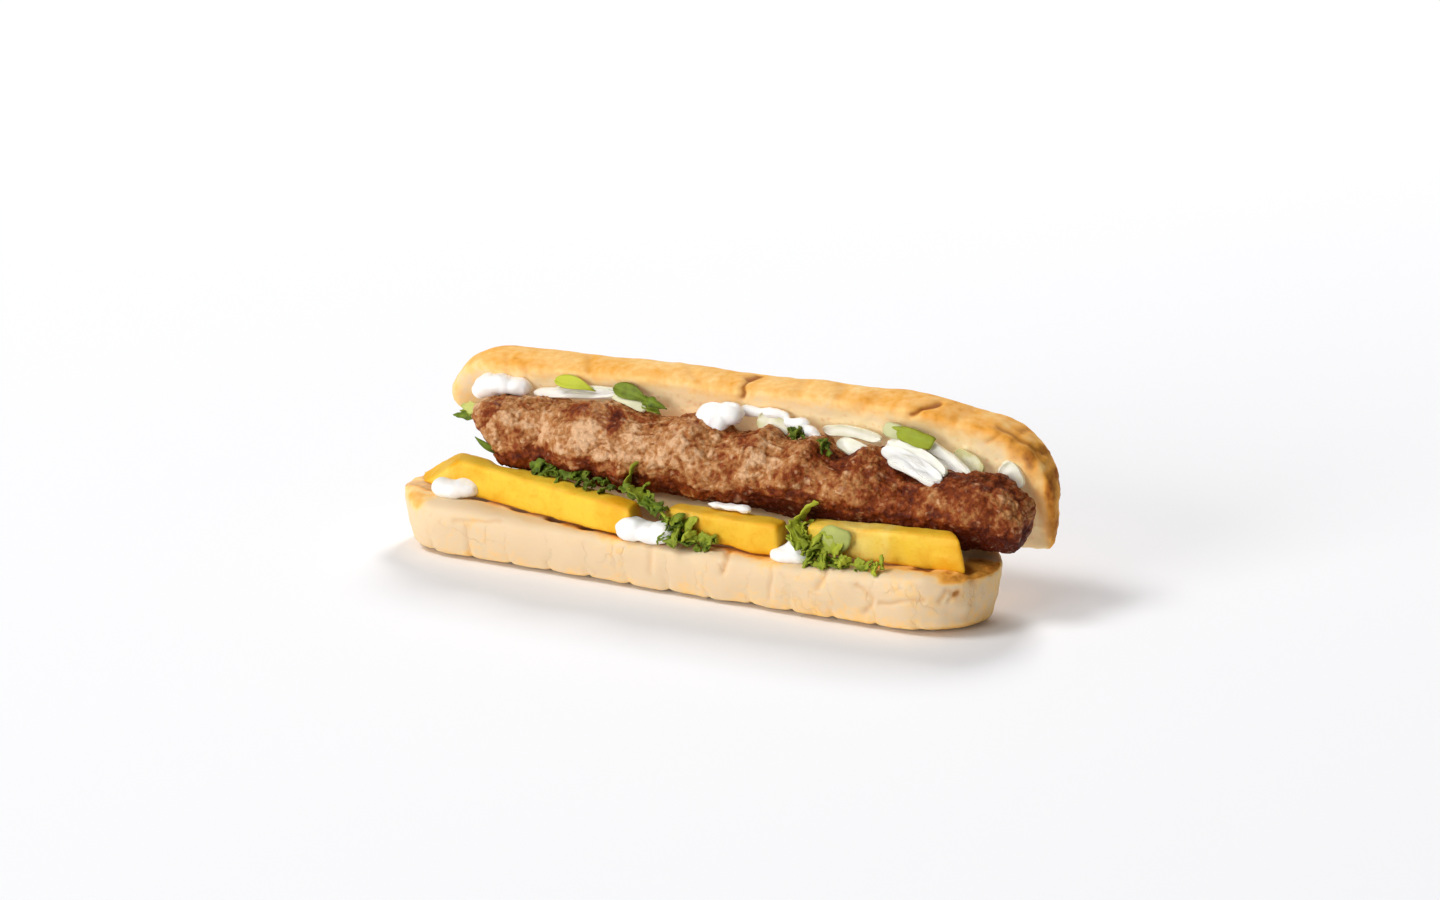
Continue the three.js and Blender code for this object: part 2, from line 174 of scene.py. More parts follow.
class BreadSettings(bpy.types.PropertyGroup):
    grid: length_property("Surface grid", "Size of the faces of the roll's skin", 0.9)
    pale: colour_property("Pale crust", "Crust that the oven hardly browned", "#E9CEA8")
    honey: colour_property("Honey crust", "Lightly toasted crust", "#F9CC84")
    gold: colour_property("Golden crust", "Crust on the lid", "#EDA745")
    # The fold and brown colours also paint shade in the holes, the gaps by the chips and under the kebab
    fold: colour_property("Fold", "Crust where a fold begins", "#D8963F")
    brown: colour_property("Brown crust", "Crust in folds and on the darkest patches", "#9A5316")
    crumb: colour_property("Crumb", "The soft inside on the cut faces", "#FFE3B2")
    pore: colour_property("Pores", "The shaded bottoms of the crumb's pores", "#EDC78E")


class FillingSettings(bpy.types.PropertyGroup):
    beef_grid: length_property("Beef grid", "Size of the faces of the kebab's skin", 0.52)
    grain: length_property("Mince grain", "Size of one grain of minced beef", 3.6)
    beef_pale: colour_property("Pale beef", "Fat and pale grains", "#E2B489")
    beef_tan: colour_property("Tan beef", "Cooked beef", "#B67A44")
    # Also paints the shade in the pits between grains
    beef_brown: colour_property("Brown beef", "Grilled beef", "#8B3E12")
    # Also paints the shade on the kebab's underside
    beef_char_and_shade: colour_property("Charred beef", "The deepest grilled parts", "#521803")
    chip: colour_property("Chip", "Fried potato", "#F0C638")
    chip_gold: colour_property("Golden chip", "Edges and ends of the chips", "#E9A713")
    chip_pale: colour_property("Pale chip", "The floury parts of the chips", "#F6DD7C")
    sauce: colour_property("Sauce", "Yoghurt and garlic sauce", "#FDFAF5")
    curd: colour_property("Curd", "Thicker spots of the sauce", "#F0E2DA")
    onion: colour_property("Onion", "Raw white onion", "#FCFBF0")
    onion_green: colour_property("Onion edge", "The greener outer layers", "#CDC893")
    onion_rib: colour_property("Onion rib", "The ribs along a slice", "#D8D6B4")
    leaf: colour_property("Leaf", "Parsley", "#6A8022")
    leaf_dark: colour_property("Dark leaf", "Parsley in the shade", "#333E0C")
    leaf_light: colour_property("Light leaf", "Young parsley and veins", "#C2C73C")
    leaf_flesh: colour_property("Leaf flesh", "The pale flesh of cut stalks", "#E4E0BE")


class StudioSettings(bpy.types.PropertyGroup):
    azimuth: number_property("Azimuth", "The camera's place round the roll, in degrees", AZIMUTH, -360)
    elevation: number_property("Elevation", "The camera's height over the roll, in degrees", ELEVATION, -90)
    distance: length_property("Distance", "From the camera to the roll", 1600)
    lens: number_property("Lens", "Focal length in millimetres", 113, 10)
    floor: colour_property("Floor", "The plain floor", "#F8F8FA")
    floor_size: length_property("Floor size", "Width of the floor", 12000)
    key_light: number_property("Key light", "Power in watts", 110)
    front_light: number_property("Front light", "Power in watts", 137)
    back_light: number_property("Back light", "Power in watts", 84)
    sky: number_property("Sky", "Strength of the light from all round", 0.17)


# Tools for making pieces


def choose(piece):
    """Selects one piece and nothing else."""
    bpy.ops.object.select_all(action="DESELECT")
    piece.select_set(True)
    bpy.context.view_layer.objects.active = piece


def modify(piece, kind, **settings):
    """Adds a modifier with these settings and applies it."""
    choose(piece)
    bpy.ops.object.modifier_add(type=kind)
    modifier = piece.modifiers[-1]
    for name, value in settings.items():
        setattr(modifier, name, value)
    bpy.ops.object.modifier_apply(modifier=modifier.name)


def merge(piece, distance=0.001 * MM, outward=False):
    """Joins vertices that lie in one place, and may then turn all faces outward."""
    choose(piece)
    bpy.ops.object.mode_set(mode="EDIT")
    bpy.ops.mesh.select_all(action="SELECT")
    bpy.ops.mesh.remove_doubles(threshold=distance)
    if outward:
        bpy.ops.mesh.normals_make_consistent(inside=False)
    bpy.ops.object.mode_set(mode="OBJECT")


def join(name, pieces):
    """Makes one piece of several."""
    bpy.ops.object.select_all(action="DESELECT")
    for piece in pieces:
        piece.select_set(True)
    bpy.context.view_layer.objects.active = pieces[0]
    if len(pieces) > 1:
        bpy.ops.object.join()
    pieces[0].name = name
    return pieces[0]


def copy_of(node, name):
    """A copy of a CAD node with its loose triangles joined."""
    mesh = frame["nodes"][node].data.copy()
    mesh.materials.clear()
    piece = bpy.data.objects.new(name, mesh)
    bpy.context.scene.collection.objects.link(piece)
    merge(piece)
    return piece


def skin(piece, grid, rounds):
    """Covers a piece with an even grid and smooths its facets away."""
    modify(piece, "REMESH", mode="VOXEL", voxel_size=grid * GRID_FACTOR)
    modify(piece, "SMOOTH", factor=0.5, iterations=rounds)


def soften(piece, weight, rounds):
    """Smooths a piece only where weight(place) says so."""
    group = piece.vertex_groups.new(name="soft")
    for vertex in piece.data.vertices:
        amount = weight(source_place(vertex.co))
        if amount > 0:
            group.add([vertex.index], amount, "REPLACE")
    modify(piece, "SMOOTH", factor=0.5, iterations=rounds, vertex_group="soft")
    piece.vertex_groups.clear()


def store(piece, name, numbers):
    """Keeps a number at each vertex for the materials to read."""
    layer = piece.data.attributes.new(name, "FLOAT", "POINT")
    layer.data.foreach_set("value", numbers)


def dress(piece, names, surface):
    """Moves each vertex along its normal and stores the named numbers there.

    surface(place, normal) gives the height in millimetres and then the numbers.
    """
    mesh = piece.data
    normals = [vertex.normal.copy() for vertex in mesh.vertices]
    rows = [surface(source_place(vertex.co), normal) for vertex, normal in zip(mesh.vertices, normals)]
    for vertex, normal, row in zip(mesh.vertices, normals, rows):
        vertex.co += normal * (row[0] * MM)
    for i, name in enumerate(names, 1):
        store(piece, name, [row[i] for row in rows])
    mesh.update()


def move(piece, shift):
    """Moves each vertex by shift(place), in millimetres."""
    for vertex in piece.data.vertices:
        vertex.co += Vector(shift(source_place(vertex.co))) * MM
    piece.data.update()


def skin_of(name):
    """A search tree of a finished piece's faces."""
    mesh = bpy.data.objects[name].data
    return BVHTree.FromPolygons([v.co for v in mesh.vertices], [face.vertices for face in mesh.polygons])


def lie_on(piece, carriers, press=0.5):
    """Draws what reaches deeper into its carriers than this, in millimetres, back to that depth."""
    for carrier in carriers:
        for vertex in piece.data.vertices:
            place, normal, _, depth = carrier.find_nearest(vertex.co)
            if depth > press * MM and (vertex.co - place).dot(normal) < 0:
                vertex.co = place - normal * (press * MM)
    piece.data.update()


def finish(piece, material, slot, *nodes):
    """Smooth shading, a material, and the piece's place in the frame."""
    choose(piece)
    bpy.ops.object.shade_smooth()
    piece.data.materials.clear()
    piece.data.materials.append(material)
    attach(piece, "root")
    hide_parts(*nodes)


def near(p, corners):
    """How far a point lies from a line through these corners."""
    best = (p - corners[0]).length
    for a, b in zip(corners, corners[1:]):
        t = clamp((p - a).dot(b - a) / (b - a).length_squared)
        best = min(best, (p - a - (b - a) * t).length)
    return best


# Materials


def add_node(tree, kind, inputs=(), out=0, **settings):
    """Adds a node with its settings, and its inputs in order or by name, as values or links."""
    made = tree.nodes.new("ShaderNode" + kind)
    for name, value in settings.items():
        setattr(made, name, value)
    for socket, value in inputs.items() if isinstance(inputs, dict) else enumerate(inputs):
        if isinstance(value, bpy.types.NodeSocket):
            tree.links.new(value, made.inputs[socket])
        else:
            made.inputs[socket].default_value = value
    return made.outputs[out] if made.outputs else None


def new_material(name, *numbers):
    """A material, what adds its nodes, the place on the piece, and the numbers stored under these names."""
    material = bpy.data.materials.new(name)
    material.use_nodes = True
    material.node_tree.nodes.clear()
    add = partial(add_node, material.node_tree)
    stored = [add("Attribute", out="Fac", attribute_name=number) for number in numbers]
    return material, add, add("TexCoord", out="Object"), *stored


def glaze(add, ground, *coats):
    """Lays each (mask, colour) coat over the ground."""
    # A Mix node's sockets for colours come after those for numbers and vectors
    for mask, shade in coats:
        ground = add("Mix", {0: mask, 6: ground, 7: shade}, out=2, data_type="RGBA")
    return ground


def per(millimetres):
    """The texture scale that gives features of this size on object coordinates in metres."""
    return 1 / (millimetres * MM)


def surface_of(add, **inputs):
    """Ends a material in a shader with these inputs, named with underscores for spaces."""
    named = {name.replace("_", " "): value for name, value in inputs.items()}
    add("OutputMaterial", {"Surface": add("BsdfPrincipled", named)})


def hairline_cracks(add, place, blotch, broken):
    """Fine cracks of the crust: one above most of the grooves, broken here and there, and a net of others."""
    sway = add("TexNoise", {"Vector": place, "Scale": per(9), "Detail": 3})
    sway = add("MapRange", (sway, 0, 1, -7 * MM, 7 * MM))
    along = add("SeparateXYZ", (place,), out="X")
    along = add("Math", (along, sway))
    along = add("Math", (along, (GROOVE_SHIFT - SOURCE_SHIFT.x) * MM))
    seam = add("Math", (along, GROOVE_PITCH / 2 * MM), operation="PINGPONG")
    seam = add("MapRange", (seam, 0.1 * MM, 0.6 * MM, 0.3, 0))
    seam = add("Math", (seam, broken), operation="MULTIPLY")
    upright = add("Mapping", {"Vector": place, "Scale": (1.0, 0.4, 0.6)})
    bent = add("TexNoise", {"Vector": place, "Scale": per(6), "Detail": 3}, out="Color")
    bent = add("VectorMath", (bent, [6 * MM] * 3), operation="MULTIPLY")
    bent = add("VectorMath", (upright, bent))
    net = add("TexVoronoi", {"Vector": bent, "Scale": per(13)}, out="Distance", feature="DISTANCE_TO_EDGE")
    net = add("MapRange", (net, 0.0, 0.03, 0.6, 0))
    here = add("MapRange", (blotch, 0.5, 0.64))
    net = add("Math", (net, here), operation="MULTIPLY")
    return add("Math", (net, seam), operation="MAXIMUM")


def bread_material(look):
    """Baked wheat roll: a thin dull crust, pale or golden, and a soft, matt, porous crumb."""
    material, add, place, toast, crumb, crease, side = new_material(
        "wheat_crust_and_crumb", "toast", "crumb", "crease", "side"
    )
    # Toasting differs from patch to patch, and in specks as small as the flour's bubbles
    blotch = add("TexNoise", {"Vector": place, "Scale": per(18), "Detail": 4})
    mottle = add("TexNoise", {"Vector": place, "Scale": per(2.6), "Detail": 5})
    patches = add("MapRange", (blotch, 0.3, 0.7, -0.2, 0.2))
    specks = add("MapRange", (mottle, 0.3, 0.7, -0.16, 0.16))
    toasted = add("Math", (toast, patches))
    toasted = add("Math", (toasted, specks))
    honey = add("MapRange", (toasted, 0.1, 0.5))
    gold = add("MapRange", (toasted, 0.45, 0.95))
    brown = add("MapRange", (toasted, 0.95, 1.5))
    broken = add("MapRange", (mottle, 0.36, 0.56))
    crack = hairline_cracks(add, place, blotch, broken)
    crack = add("Math", (crack, side), operation="MULTIPLY")
    thin = add("Math", (crack, 0.22), operation="MULTIPLY")
    toasting = (honey, look.honey), (gold, look.gold), (brown, look.brown)
    crust = glaze(add, look.pale, *toasting, (thin, look.brown))
    # Crumb: an open net of pores, one to three millimetres wide, with painted shade in their bottoms
    cells = add("TexVoronoi", {"Vector": place, "Scale": per(2.6)}, out="Distance")
    pore = add("MapRange", (cells, 0.12, 0.4, 0.7, 0))
    pore = add("Math", (pore, broken), operation="MULTIPLY")
    inside = glaze(add, look.crumb, (pore, look.pore))
    # Folds are golden where they begin and brown where they are deep; the same colours paint shade in the
    # holes, in the gaps by the chips and under the kebab
    begun = add("MapRange", (crease, 0, 0.6, 0, 0.7))
    deep = add("MapRange", (crease, 0.4, 1.0))
    outside = glaze(add, crust, (crumb, inside), (begun, look.fold), (deep, look.brown))
    height = add("Math", (mottle, 0.4), operation="MULTIPLY")
    height = add("Math", (height, crack), operation="SUBTRACT")
    pitted = add("Math", (pore, crumb), operation="MULTIPLY")
    height = add("Math", (height, pitted), operation="SUBTRACT")
    # Painted light: the crumb glows faintly, which keeps it warm and pale even in the kebab's shade
    painted_crumb_glow = add("Math", (crumb, 0.19), operation="MULTIPLY")
    surface_of(
        add, Base_Color=outside, Roughness=add("MapRange", (crumb, 0, 1, 0.65, 0.9)),
        Normal=add("Bump", {"Height": height, "Strength": 0.55, "Distance": 0.6 * MM}),
        IOR=1.4, Specular_IOR_Level=0.14,
        Subsurface_Weight=0.35, Subsurface_Radius=(1.0, 0.65, 0.35), Subsurface_Scale=4 * MM,
        Emission_Color=inside, Emission_Strength=painted_crumb_glow,
    )
    return material


def beef_material(look):
    """Grilled minced beef: moist grains with pale fat, browner and darker where the grill caught them, with
    painted shade underneath and in the pits and painted highlights on the raised grains.
    """
    material, add, place, char, grain, tint = new_material("grilled_minced_beef", "char", "grain", "tint")
    blotch = add("TexNoise", {"Vector": place, "Scale": per(9), "Detail": 6, "Roughness": 0.6})
    fibre = add("TexNoise", {"Vector": place, "Scale": per(1.5), "Detail": 6, "Roughness": 0.65})
    fleck = add("TexNoise", {"Vector": place, "Scale": per(2.8), "Detail": 4, "Roughness": 0.6})
    # How well done it is differs from patch to patch and grain to grain, and the low grains get painted shade
    done = char
    for pattern, lowest, highest, change in (
        (blotch, 0.3, 0.7, 0.4), (fibre, 0.3, 0.7, -0.2), (fleck, 0.3, 0.7, -0.34), (grain, 0, 1, -0.22),
    ):
        more = add("MapRange", (pattern, lowest, highest, -change, change))
        done = add("Math", (done, more))
    tan = add("MapRange", (done, -0.2, 0.25))
    brown = add("MapRange", (done, 0.28, 0.68))
    dark = add("MapRange", (done, 0.68, 1.2))
    # Pale fat shows only on the raised grains, partly a painted highlight, and brown fills the pits as painted
    # shade
    pale = add("MapRange", (tint, 0.42, 0.75))
    raised_highlight = add("MapRange", (grain, 0.4, 0.8))
    pale = add("Math", (pale, raised_highlight), operation="MULTIPLY")
    less = add("MapRange", (char, 0.1, 1.0, 0.95, 0.3))
    pale = add("Math", (pale, less), operation="MULTIPLY")
    pit_shade = add("MapRange", (grain, 0.0, 0.4, 0.6, 0))
    meat = glaze(
        add, look.beef_pale, (tan, look.beef_tan), (brown, look.beef_brown), (dark, look.beef_char_and_shade),
        (pale, look.beef_pale), (pit_shade, look.beef_brown),
    )
    # The finest grains, under two millimetres
    crumbs = add("TexVoronoi", {"Vector": place, "Scale": per(1.7)}, out="Distance")
    crumbs = add("Math", (fibre, crumbs), operation="SUBTRACT")
    bump = add("Bump", {"Height": crumbs, "Strength": 0.9, "Distance": 0.7 * MM})
    rough = add("MapRange", (fibre, 0.35, 0.65, 0.3, 0.6))
    surface_of(
        add, Base_Color=meat, Roughness=rough, Normal=bump, IOR=1.45, Specular_IOR_Level=0.2,
        Subsurface_Weight=0.06, Subsurface_Radius=(1.0, 0.35, 0.2), Subsurface_Scale=1.5 * MM,
    )
    return material


def chip_material(look):
    """Fried potato: a thin oily skin over a soft yellow inside, more golden at edges and ends."""
    material, add, place, golden, floury = new_material("fried_potato", "golden", "floury")
    blotch = add("TexNoise", {"Vector": place, "Scale": per(8), "Detail": 4})
    blister = add("TexNoise", {"Vector": place, "Scale": per(1.3), "Detail": 4})
    patch = add("MapRange", (blotch, 0.45, 0.75, 0, 0.7))
    fleck = add("MapRange", (blister, 0.55, 0.8, 0, 0.5))
    deep = add("Math", (golden, patch))
    deep = add("Math", (deep, fleck), use_clamp=True)
    yellow = glaze(add, look.chip, (floury, look.chip_pale), (deep, look.chip_gold))
    bump = add("Bump", {"Height": blister, "Strength": 0.3, "Distance": 0.5 * MM})
    surface_of(
        add, Base_Color=yellow, Roughness=0.5, Normal=bump, IOR=1.45, Specular_IOR_Level=0.3,
        Subsurface_Weight=0.2, Subsurface_Radius=(1.0, 0.7, 0.15), Subsurface_Scale=2.5 * MM,
    )
    return material


def sauce_material(look):
    """Thick yoghurt sauce: white, wet and smooth."""
    material, add, place = new_material("yoghurt_sauce")
    curd = add("TexNoise", {"Vector": place, "Scale": per(3), "Detail": 3})
    tone = add("MapRange", (curd, 0.5, 0.8, 0, 0.3))
    white = glaze(add, look.sauce, (tone, look.curd))
    bump = add("Bump", {"Height": curd, "Strength": 0.35, "Distance": 0.6 * MM})
    surface_of(
        add, Base_Color=white, Roughness=0.42, Normal=bump, IOR=1.36,
        Subsurface_Weight=0.35, Subsurface_Radius=(1.0, 0.85, 0.7), Subsurface_Scale=2 * MM,
    )
    return material


def onion_material(look):
    """Raw onion: juicy, half clear layers with fine ribs along each slice."""
    material, add, place, across, green = new_material("raw_onion", "across", "green")
    rib = add("TexNoise", {"W": across, "Scale": 5.0, "Detail": 2}, noise_dimensions="1D")
    cloud = add("TexNoise", {"Vector": place, "Scale": per(5), "Detail": 3})
    tone = add("Math", (green, cloud), operation="MULTIPLY", use_clamp=True)
    streak = add("MapRange", (rib, 0.5, 0.7, 0, 0.05))
    flesh = glaze(add, look.onion, (tone, look.onion_green), (streak, look.onion_rib))
    bump = add("Bump", {"Height": rib, "Strength": 0.03, "Distance": 0.4 * MM})
    surface_of(
        add, Base_Color=flesh, Roughness=0.3, Normal=bump, IOR=1.38,
        Subsurface_Weight=0.4, Subsurface_Radius=(0.9, 1.0, 0.7), Subsurface_Scale=2 * MM,
    )
    return material


def leaf_material(look):
    """Fresh parsley: a thin waxy blade with paler veins."""
    material, add, place, vein, light, flesh = new_material("fresh_parsley", "vein", "light", "flesh")
    cloud = add("TexNoise", {"Vector": place, "Scale": per(3), "Detail": 4})
    shade = add("MapRange", (cloud, 0.35, 0.6, 0.8, 0))
    dim = add("Math", (1.0, light), operation="SUBTRACT")
    shade = add("Math", (shade, dim), operation="MULTIPLY")
    blade = glaze(
        add, look.leaf, (shade, look.leaf_dark), (light, look.leaf_light), (vein, look.leaf_light),
        (flesh, look.leaf_flesh),
    )
    bump = add("Bump", {"Height": cloud, "Strength": 0.5, "Distance": 0.5 * MM})
    surface_of(
        add, Base_Color=blade, Roughness=0.55, Normal=bump, IOR=1.4, Specular_IOR_Level=0.3,
        Subsurface_Weight=0.05, Subsurface_Radius=(0.6, 1.0, 0.2), Subsurface_Scale=0.5 * MM,
    )
    return material


# The roll's shape in millimetres, as the solids' source has it

SPINE_Y = 25.0
# Grooves cross the underside this far apart, starting this far left of the source's own middle
GROOVE_PITCH = 16.0
GROOVE_SHIFT = 3.0
base_top = through([(-118, 22), (-92, 20.3), (-45, 18.4), (0, 18), (45, 19), (80, 21.2), (105, 23)])
lid_angle = through([(-115, 69), (-30, 72), (60, 74), (120, 77)])


def lid_place(p):
    """(height up the lid from the spine, depth behind its cut face)."""
    angle = math.radians(lid_angle(p.x))
    back = p.y - SPINE_Y
    rise = p.z - base_top(p.x) + 3 * ease(p.x, 66, 116)
    return rise * math.sin(angle) - back * math.cos(angle), rise * math.cos(angle) + back * math.sin(angle)


def lid_height(x):
    """How high the lid stands above the spine."""
    return 53 * (1 - 0.09 * ease(-x, 20, 100) - 0.14 * ease(x, 48, 112))


def lid_edge(x, up):
    """How far a point of the lid is from its free edge, which bends down in part of an oval at the right."""
    height, start, length, lowest = lid_height(x), 98, 26, 20
    if x < start:
        return height - up
    reach = math.hypot((x - start) / length, max(0.0, up - lowest) / (height - lowest))
    return length * (1 - reach) * (1 + 0.8 * ease(up, lowest, 8))


# Folds and cracks of the crust: their corners, depth and width in millimetres, and how brown they are
FOLDS = [
    ([(10, 26, 70), (7.6, 17.5, 70.2), (8.8, 11.4, 65)], 1.1, 0.9, 1.0),
    ([(-57, 20.6, 69), (-51.4, 10.6, 67.4)], 0.6, 1.6, 0.4),
    ([(-86.6, 13, 67), (-85.1, 9.7, 63.2)], 0.4, 1.4, 0.15),
    ([(-78.8, 11, 66.7), (-78.8, 12, 60)], 0.4, 1.3, 0.2),
    ([(81, 21, 70.5), (77.5, 14.5, 70.4), (74.4, 12.6, 67.1)], 1.2, 1.1, 1.0),
    ([(106.3, 15.8, 64.6), (101.6, 16.2, 60.6)], 0.5, 1.0, 0.5),
    ([(105, 17, 66.5), (113, 20, 61.9), (118.6, 23.8, 57)], 0.5, 1.0, 0.75),
    ([(115.5, 20.5, 59.9), (120.9, 22.1, 54.2)], 0.5, 1.0, 0.5),
    ([(-15, 18, 70.4), (-7, 10.5, 69)], 0.5, 1.8, 0.2),
    ([(27.1, 23.4, 70.9), (31, 10.1, 69.4)], 0.6, 2.0, 0.2),
    ([(44.3, 21.7, 71.5), (46, 12.7, 70.4)], 0.7, 2.0, 0.2),
    ([(59, 20, 71), (55.2, 11.3, 68.4)], 0.7, 2.0, 0.25),
    ([(94, 22, 69), (89, 15, 67)], 0.7, 2.0, 0.25),
    ([(-87.3, -24.8, 15.7), (-68.5, -25.1, 18.6)], 0.5, 0.7, 0.2),
    ([(-82.7, -24.9, 15.6), (-83.9, -21.9, 2.5)], 0.4, 0.8, 0.12),
    ([(-7.9, -24.7, 17.6), (-9, -23.6, 7.5)], 0.5, 0.8, 0.14),
    ([(20.6, -20.6, 18.2), (20.4, -24.6, 13.1)], 1.0, 1.1, 0.3),
    ([(39.6, -25, 17.6), (36.7, -23.1, 5.7)], 0.5, 0.8, 0.14),
    ([(60.4, -25.1, 18.7), (56.7, -24.6, 12.9)], 0.7, 0.9, 0.22),
    ([(72.3, -24.7, 16.1), (77.7, -24, 11.7), (74.6, -23, 6.9)], 0.7, 0.9, 0.24),
    ([(80.3, -23.8, 10.6), (96.8, -23, 14.8)], 0.6, 0.8, 0.24),
    ([(101, -21, 14.5), (102.8, -20, 18), (106.2, -16.8, 16.2), (103.5, -19, 14.3)], 0.7, 0.9, 0.3),
    ([(106.2, -16.8, 16.2), (105.6, -17.6, 16.0)], 0.6, 1.3, 0.9),
    ([(104, -6, 23), (108, -9, 20)], 1.2, 2.2, 0.6),
]


# The folds were measured along this direction, so a point's distance from them is taken across it
SIGHT = towards_camera(AZIMUTH, ELEVATION)
# How far from a fold's corners it can still be felt, in millimetres
FOLD_REACH = 12


def across_sight(p):
    """The point moved along the sight line, onto a plane across it."""
    p = Vector(p)
    return p - SIGHT * p.dot(SIGHT)


def fold_at(p, normal):
    """(depth in millimetres, brownness) of the folds at a point of the crust."""
    deep = brown = 0.0
    if normal.dot(SIGHT) < 0:
        return deep, brown
    swayed = p + Vector((1.2 * wave(p, 5, 21), 0, 0.8 * wave(p, 5, 25)))
    for corners, depth, width, tone in FOLDS:
        spans = [(min(c[i] for c in corners), max(c[i] for c in corners), p[i]) for i in (0, 2)]
        if all(low - FOLD_REACH < place < high + FOLD_REACH for low, high, place in spans):
            off = near(across_sight(swayed), [across_sight(c) for c in corners]) / width
            if off < 3:
                press = math.exp(-off * off)
                deep = max(deep, depth * press)
                brown = max(brown, tone * press)
    return deep, brown


# How far back the chips' lower edges lie
chips_front = through([
    (-118, -5), (-98, -10), (-62, -16), (-38, -19.4), (-26, -21.5), (-12, -20), (0, -16.6), (39, -18.2),
    (46, -14.9), (76, -13.6), (105, -12.4),
])
# Where the bread seems to meet the chips from the front
chips_meet = through([
    (-118, -4), (-88, -7), (-77, -7.8), (-66, -9.6), (-55, -11.3), (-44, -13.2), (-34, -14.8), (-26, -16.4),
    (0, -8), (14, -9.4), (21, -11.7), (28, -14.8), (40, -17), (50, -8), (62, -7.8), (80, -10.7), (91, -11.7),
    (97, -13.1), (105, -13.2),
])
# Where the bread draws back from the chips and leaves a gap, browned there as a painted shadow: place along
# the roll and half width
GAPS = [(-86, 4), (-68, 3.4), (-52.5, 3.6), (-38, 3), (91.5, 4)]
# How high the bread swells in front of the chips
bank_height = through([
    (-118, 0.6), (-95, 1.1), (-60, 1), (-38, 0.6), (-25, 0.3), (0, 0.7), (30, 0.55), (42, 0.2), (76, 0.25),
    (84, 1), (100, 1.1), (112, 0.3),
])


def groove_at(x):
    """1 at the grooves that cross the roll's underside, 0 between them."""
    return max(0.0, math.cos(2 * math.pi * (x + GROOVE_SHIFT) / GROOVE_PITCH)) ** 9


def part_of_roll(p, normal):
    """How a point of the roll lies: distances in millimetres, and its share in each part, from 0 to 1."""
    up, depth = lid_place(p)
    top = base_top(p.x)
    lid = ease(up, -1, 2) * ease(p.z, top - 6, top + 1) * max(ease(p.y, 3, 8), ease(p.z, top + 3, top + 6))
    base = 1 - lid
    angle = math.radians(lid_angle(p.x))
    forward = -(normal.y * math.sin(angle) + normal.z * math.cos(angle))
    rim = lid_edge(p.x, up)
    lid_cut = ease(forward, 0.45, 0.85) * ease(depth, 5, 2.5) * ease(rim, 0, 13)
    lid_cut *= (1 - ease(-p.x, 86, 98)) * (1 - 0.3 * ease(p.x, 102, 110))
    base_cut = ease(normal.z, 0.45, 0.85) * ease(p.z, top - 4.5, top - 2) * ease(p.y, -17, -11)
    base_cut *= ease(p.x, 102, 96)
    on_top = base * ease(p.z, top - 5, top - 1.5) * ease(normal.z, 0.1, 0.6)
    return SimpleNamespace(
        up=up, depth=depth, top=top, rim=rim, lid=lid, base=base, on_top=on_top,
        crumb=clamp(lid * lid_cut + 0.4 * base * base_cut),
        rounded=max(ease(depth, 0.5, 5), ease(rim, 13, -1)),
        front_lip=on_top * ease(p.y, -8, -13),
    )


def relief_of_roll(p, normal, at):
    """(height in millimetres, how brown the folds are, with painted shade in the holes, in the gaps by the
    chips and under the kebab).
    """
    soft = 0.45 * wave(p, 14) + 0.22 * wave(p, 5, 3)
    torn = at.crumb * (0.5 * wave(p, 3.4, 7) - 0.5 * max(0.0, wave(p, 2.4, 9)) ** 2)
    puckered = 0.22 * at.lid * (1 - at.crumb) * wave(Vector((p.x, at.depth * 0.4, 0)), 4.5, 13)
    puckered *= ease(p.x, -20, 60)
    pillow = -0.7 * groove_at(p.x) * at.base * ease(p.z, 9, 1.5) * ease(p.z, -1, 2) * ease(abs(p.y), 15, 21)
    ends = 0.6 * wave(p, 6, 19) * ease(abs(p.x), 92, 112)
    ragged = 0.4 * wave(p, 2.4, 29) * at.lid * ease(p.x, 104, 116)
    chips, meet = chips_front(p.x), chips_meet(p.x)
    swell = ease(p.y, -26, (chips - 24) / 2) * ease(p.y, chips + 7, chips + 3)
    bank = bank_height(p.x) * at.on_top * swell * (1 + 0.3 * wave(p, 7, 31))
    # Painted shade: the bread under the kebab, where its shadow falls, is browned
    painted_shade_under_kebab = 0.3 * at.on_top * ease(p.y, chips + 3, chips + 7) * ease(p.x, 104, 96) * ease(p.y, 26, 20)
    # Painted shadow: the bread is dented and browned in the gaps under the chips
    shadowed_gap = at.on_top * ease(p.y, meet - 5.2, meet - 3.8) * ease(p.y, meet + 6, meet + 3)
    shadowed_gap *= sum(math.exp(-(((p.x - place) / half) ** 4)) for place, half in GAPS)
    # Painted shade: dents in the top of the right end, browned as shaded holes
    shaded_holes = 1.3 * at.on_top * ease(p.x, 98, 102) * max(0.0, wave(p, 3.2, 37))
    fold, brown = fold_at(p, normal)
    height = soft + torn + puckered + pillow + bank + ends + ragged - max(fold, shadowed_gap, shaded_holes)
    return height, max(brown, painted_shade_under_kebab, 1.3 * shadowed_gap, shaded_holes)


def toast_of_lid(p, at):
    """How toasted the lid is: golden strokes over its rounded edge, and browner towards the right end."""
    stroke = wave(Vector((p.x, 0.25 * at.up, 0.3 * at.depth)), 3.6, 41)
    golden = 0.56 + (0.16 + 0.3 * ease(p.x, 60, 105)) * stroke
    toast = 0.06 + at.rounded * golden + 0.12 * ease(at.rim, 3, 0) + 0.08 * ease(at.depth, 8, 18)
    toast += 0.1 * wave(p, 6, 27)
    toast *= 1 + 0.15 * ease(-p.x, 40, 100)
    right_end = (0.12 + 0.5 * stroke) * ease(p.x, 102, 114) * ease(p.z, 64, 52) * ease(p.z, 26, 40)
    left_end = 0.3 * ease(-p.x, 98, 112) * (1 - at.rounded)
    browner = 0.16 * ease(p.x, 35, 100) + 0.1 * ease(p.x, 96, 112)
    browner += 0.2 * ease(p.x, 106, 117) * ease(p.z, 66, 56)
    return toast + right_end + left_end + at.rounded * browner


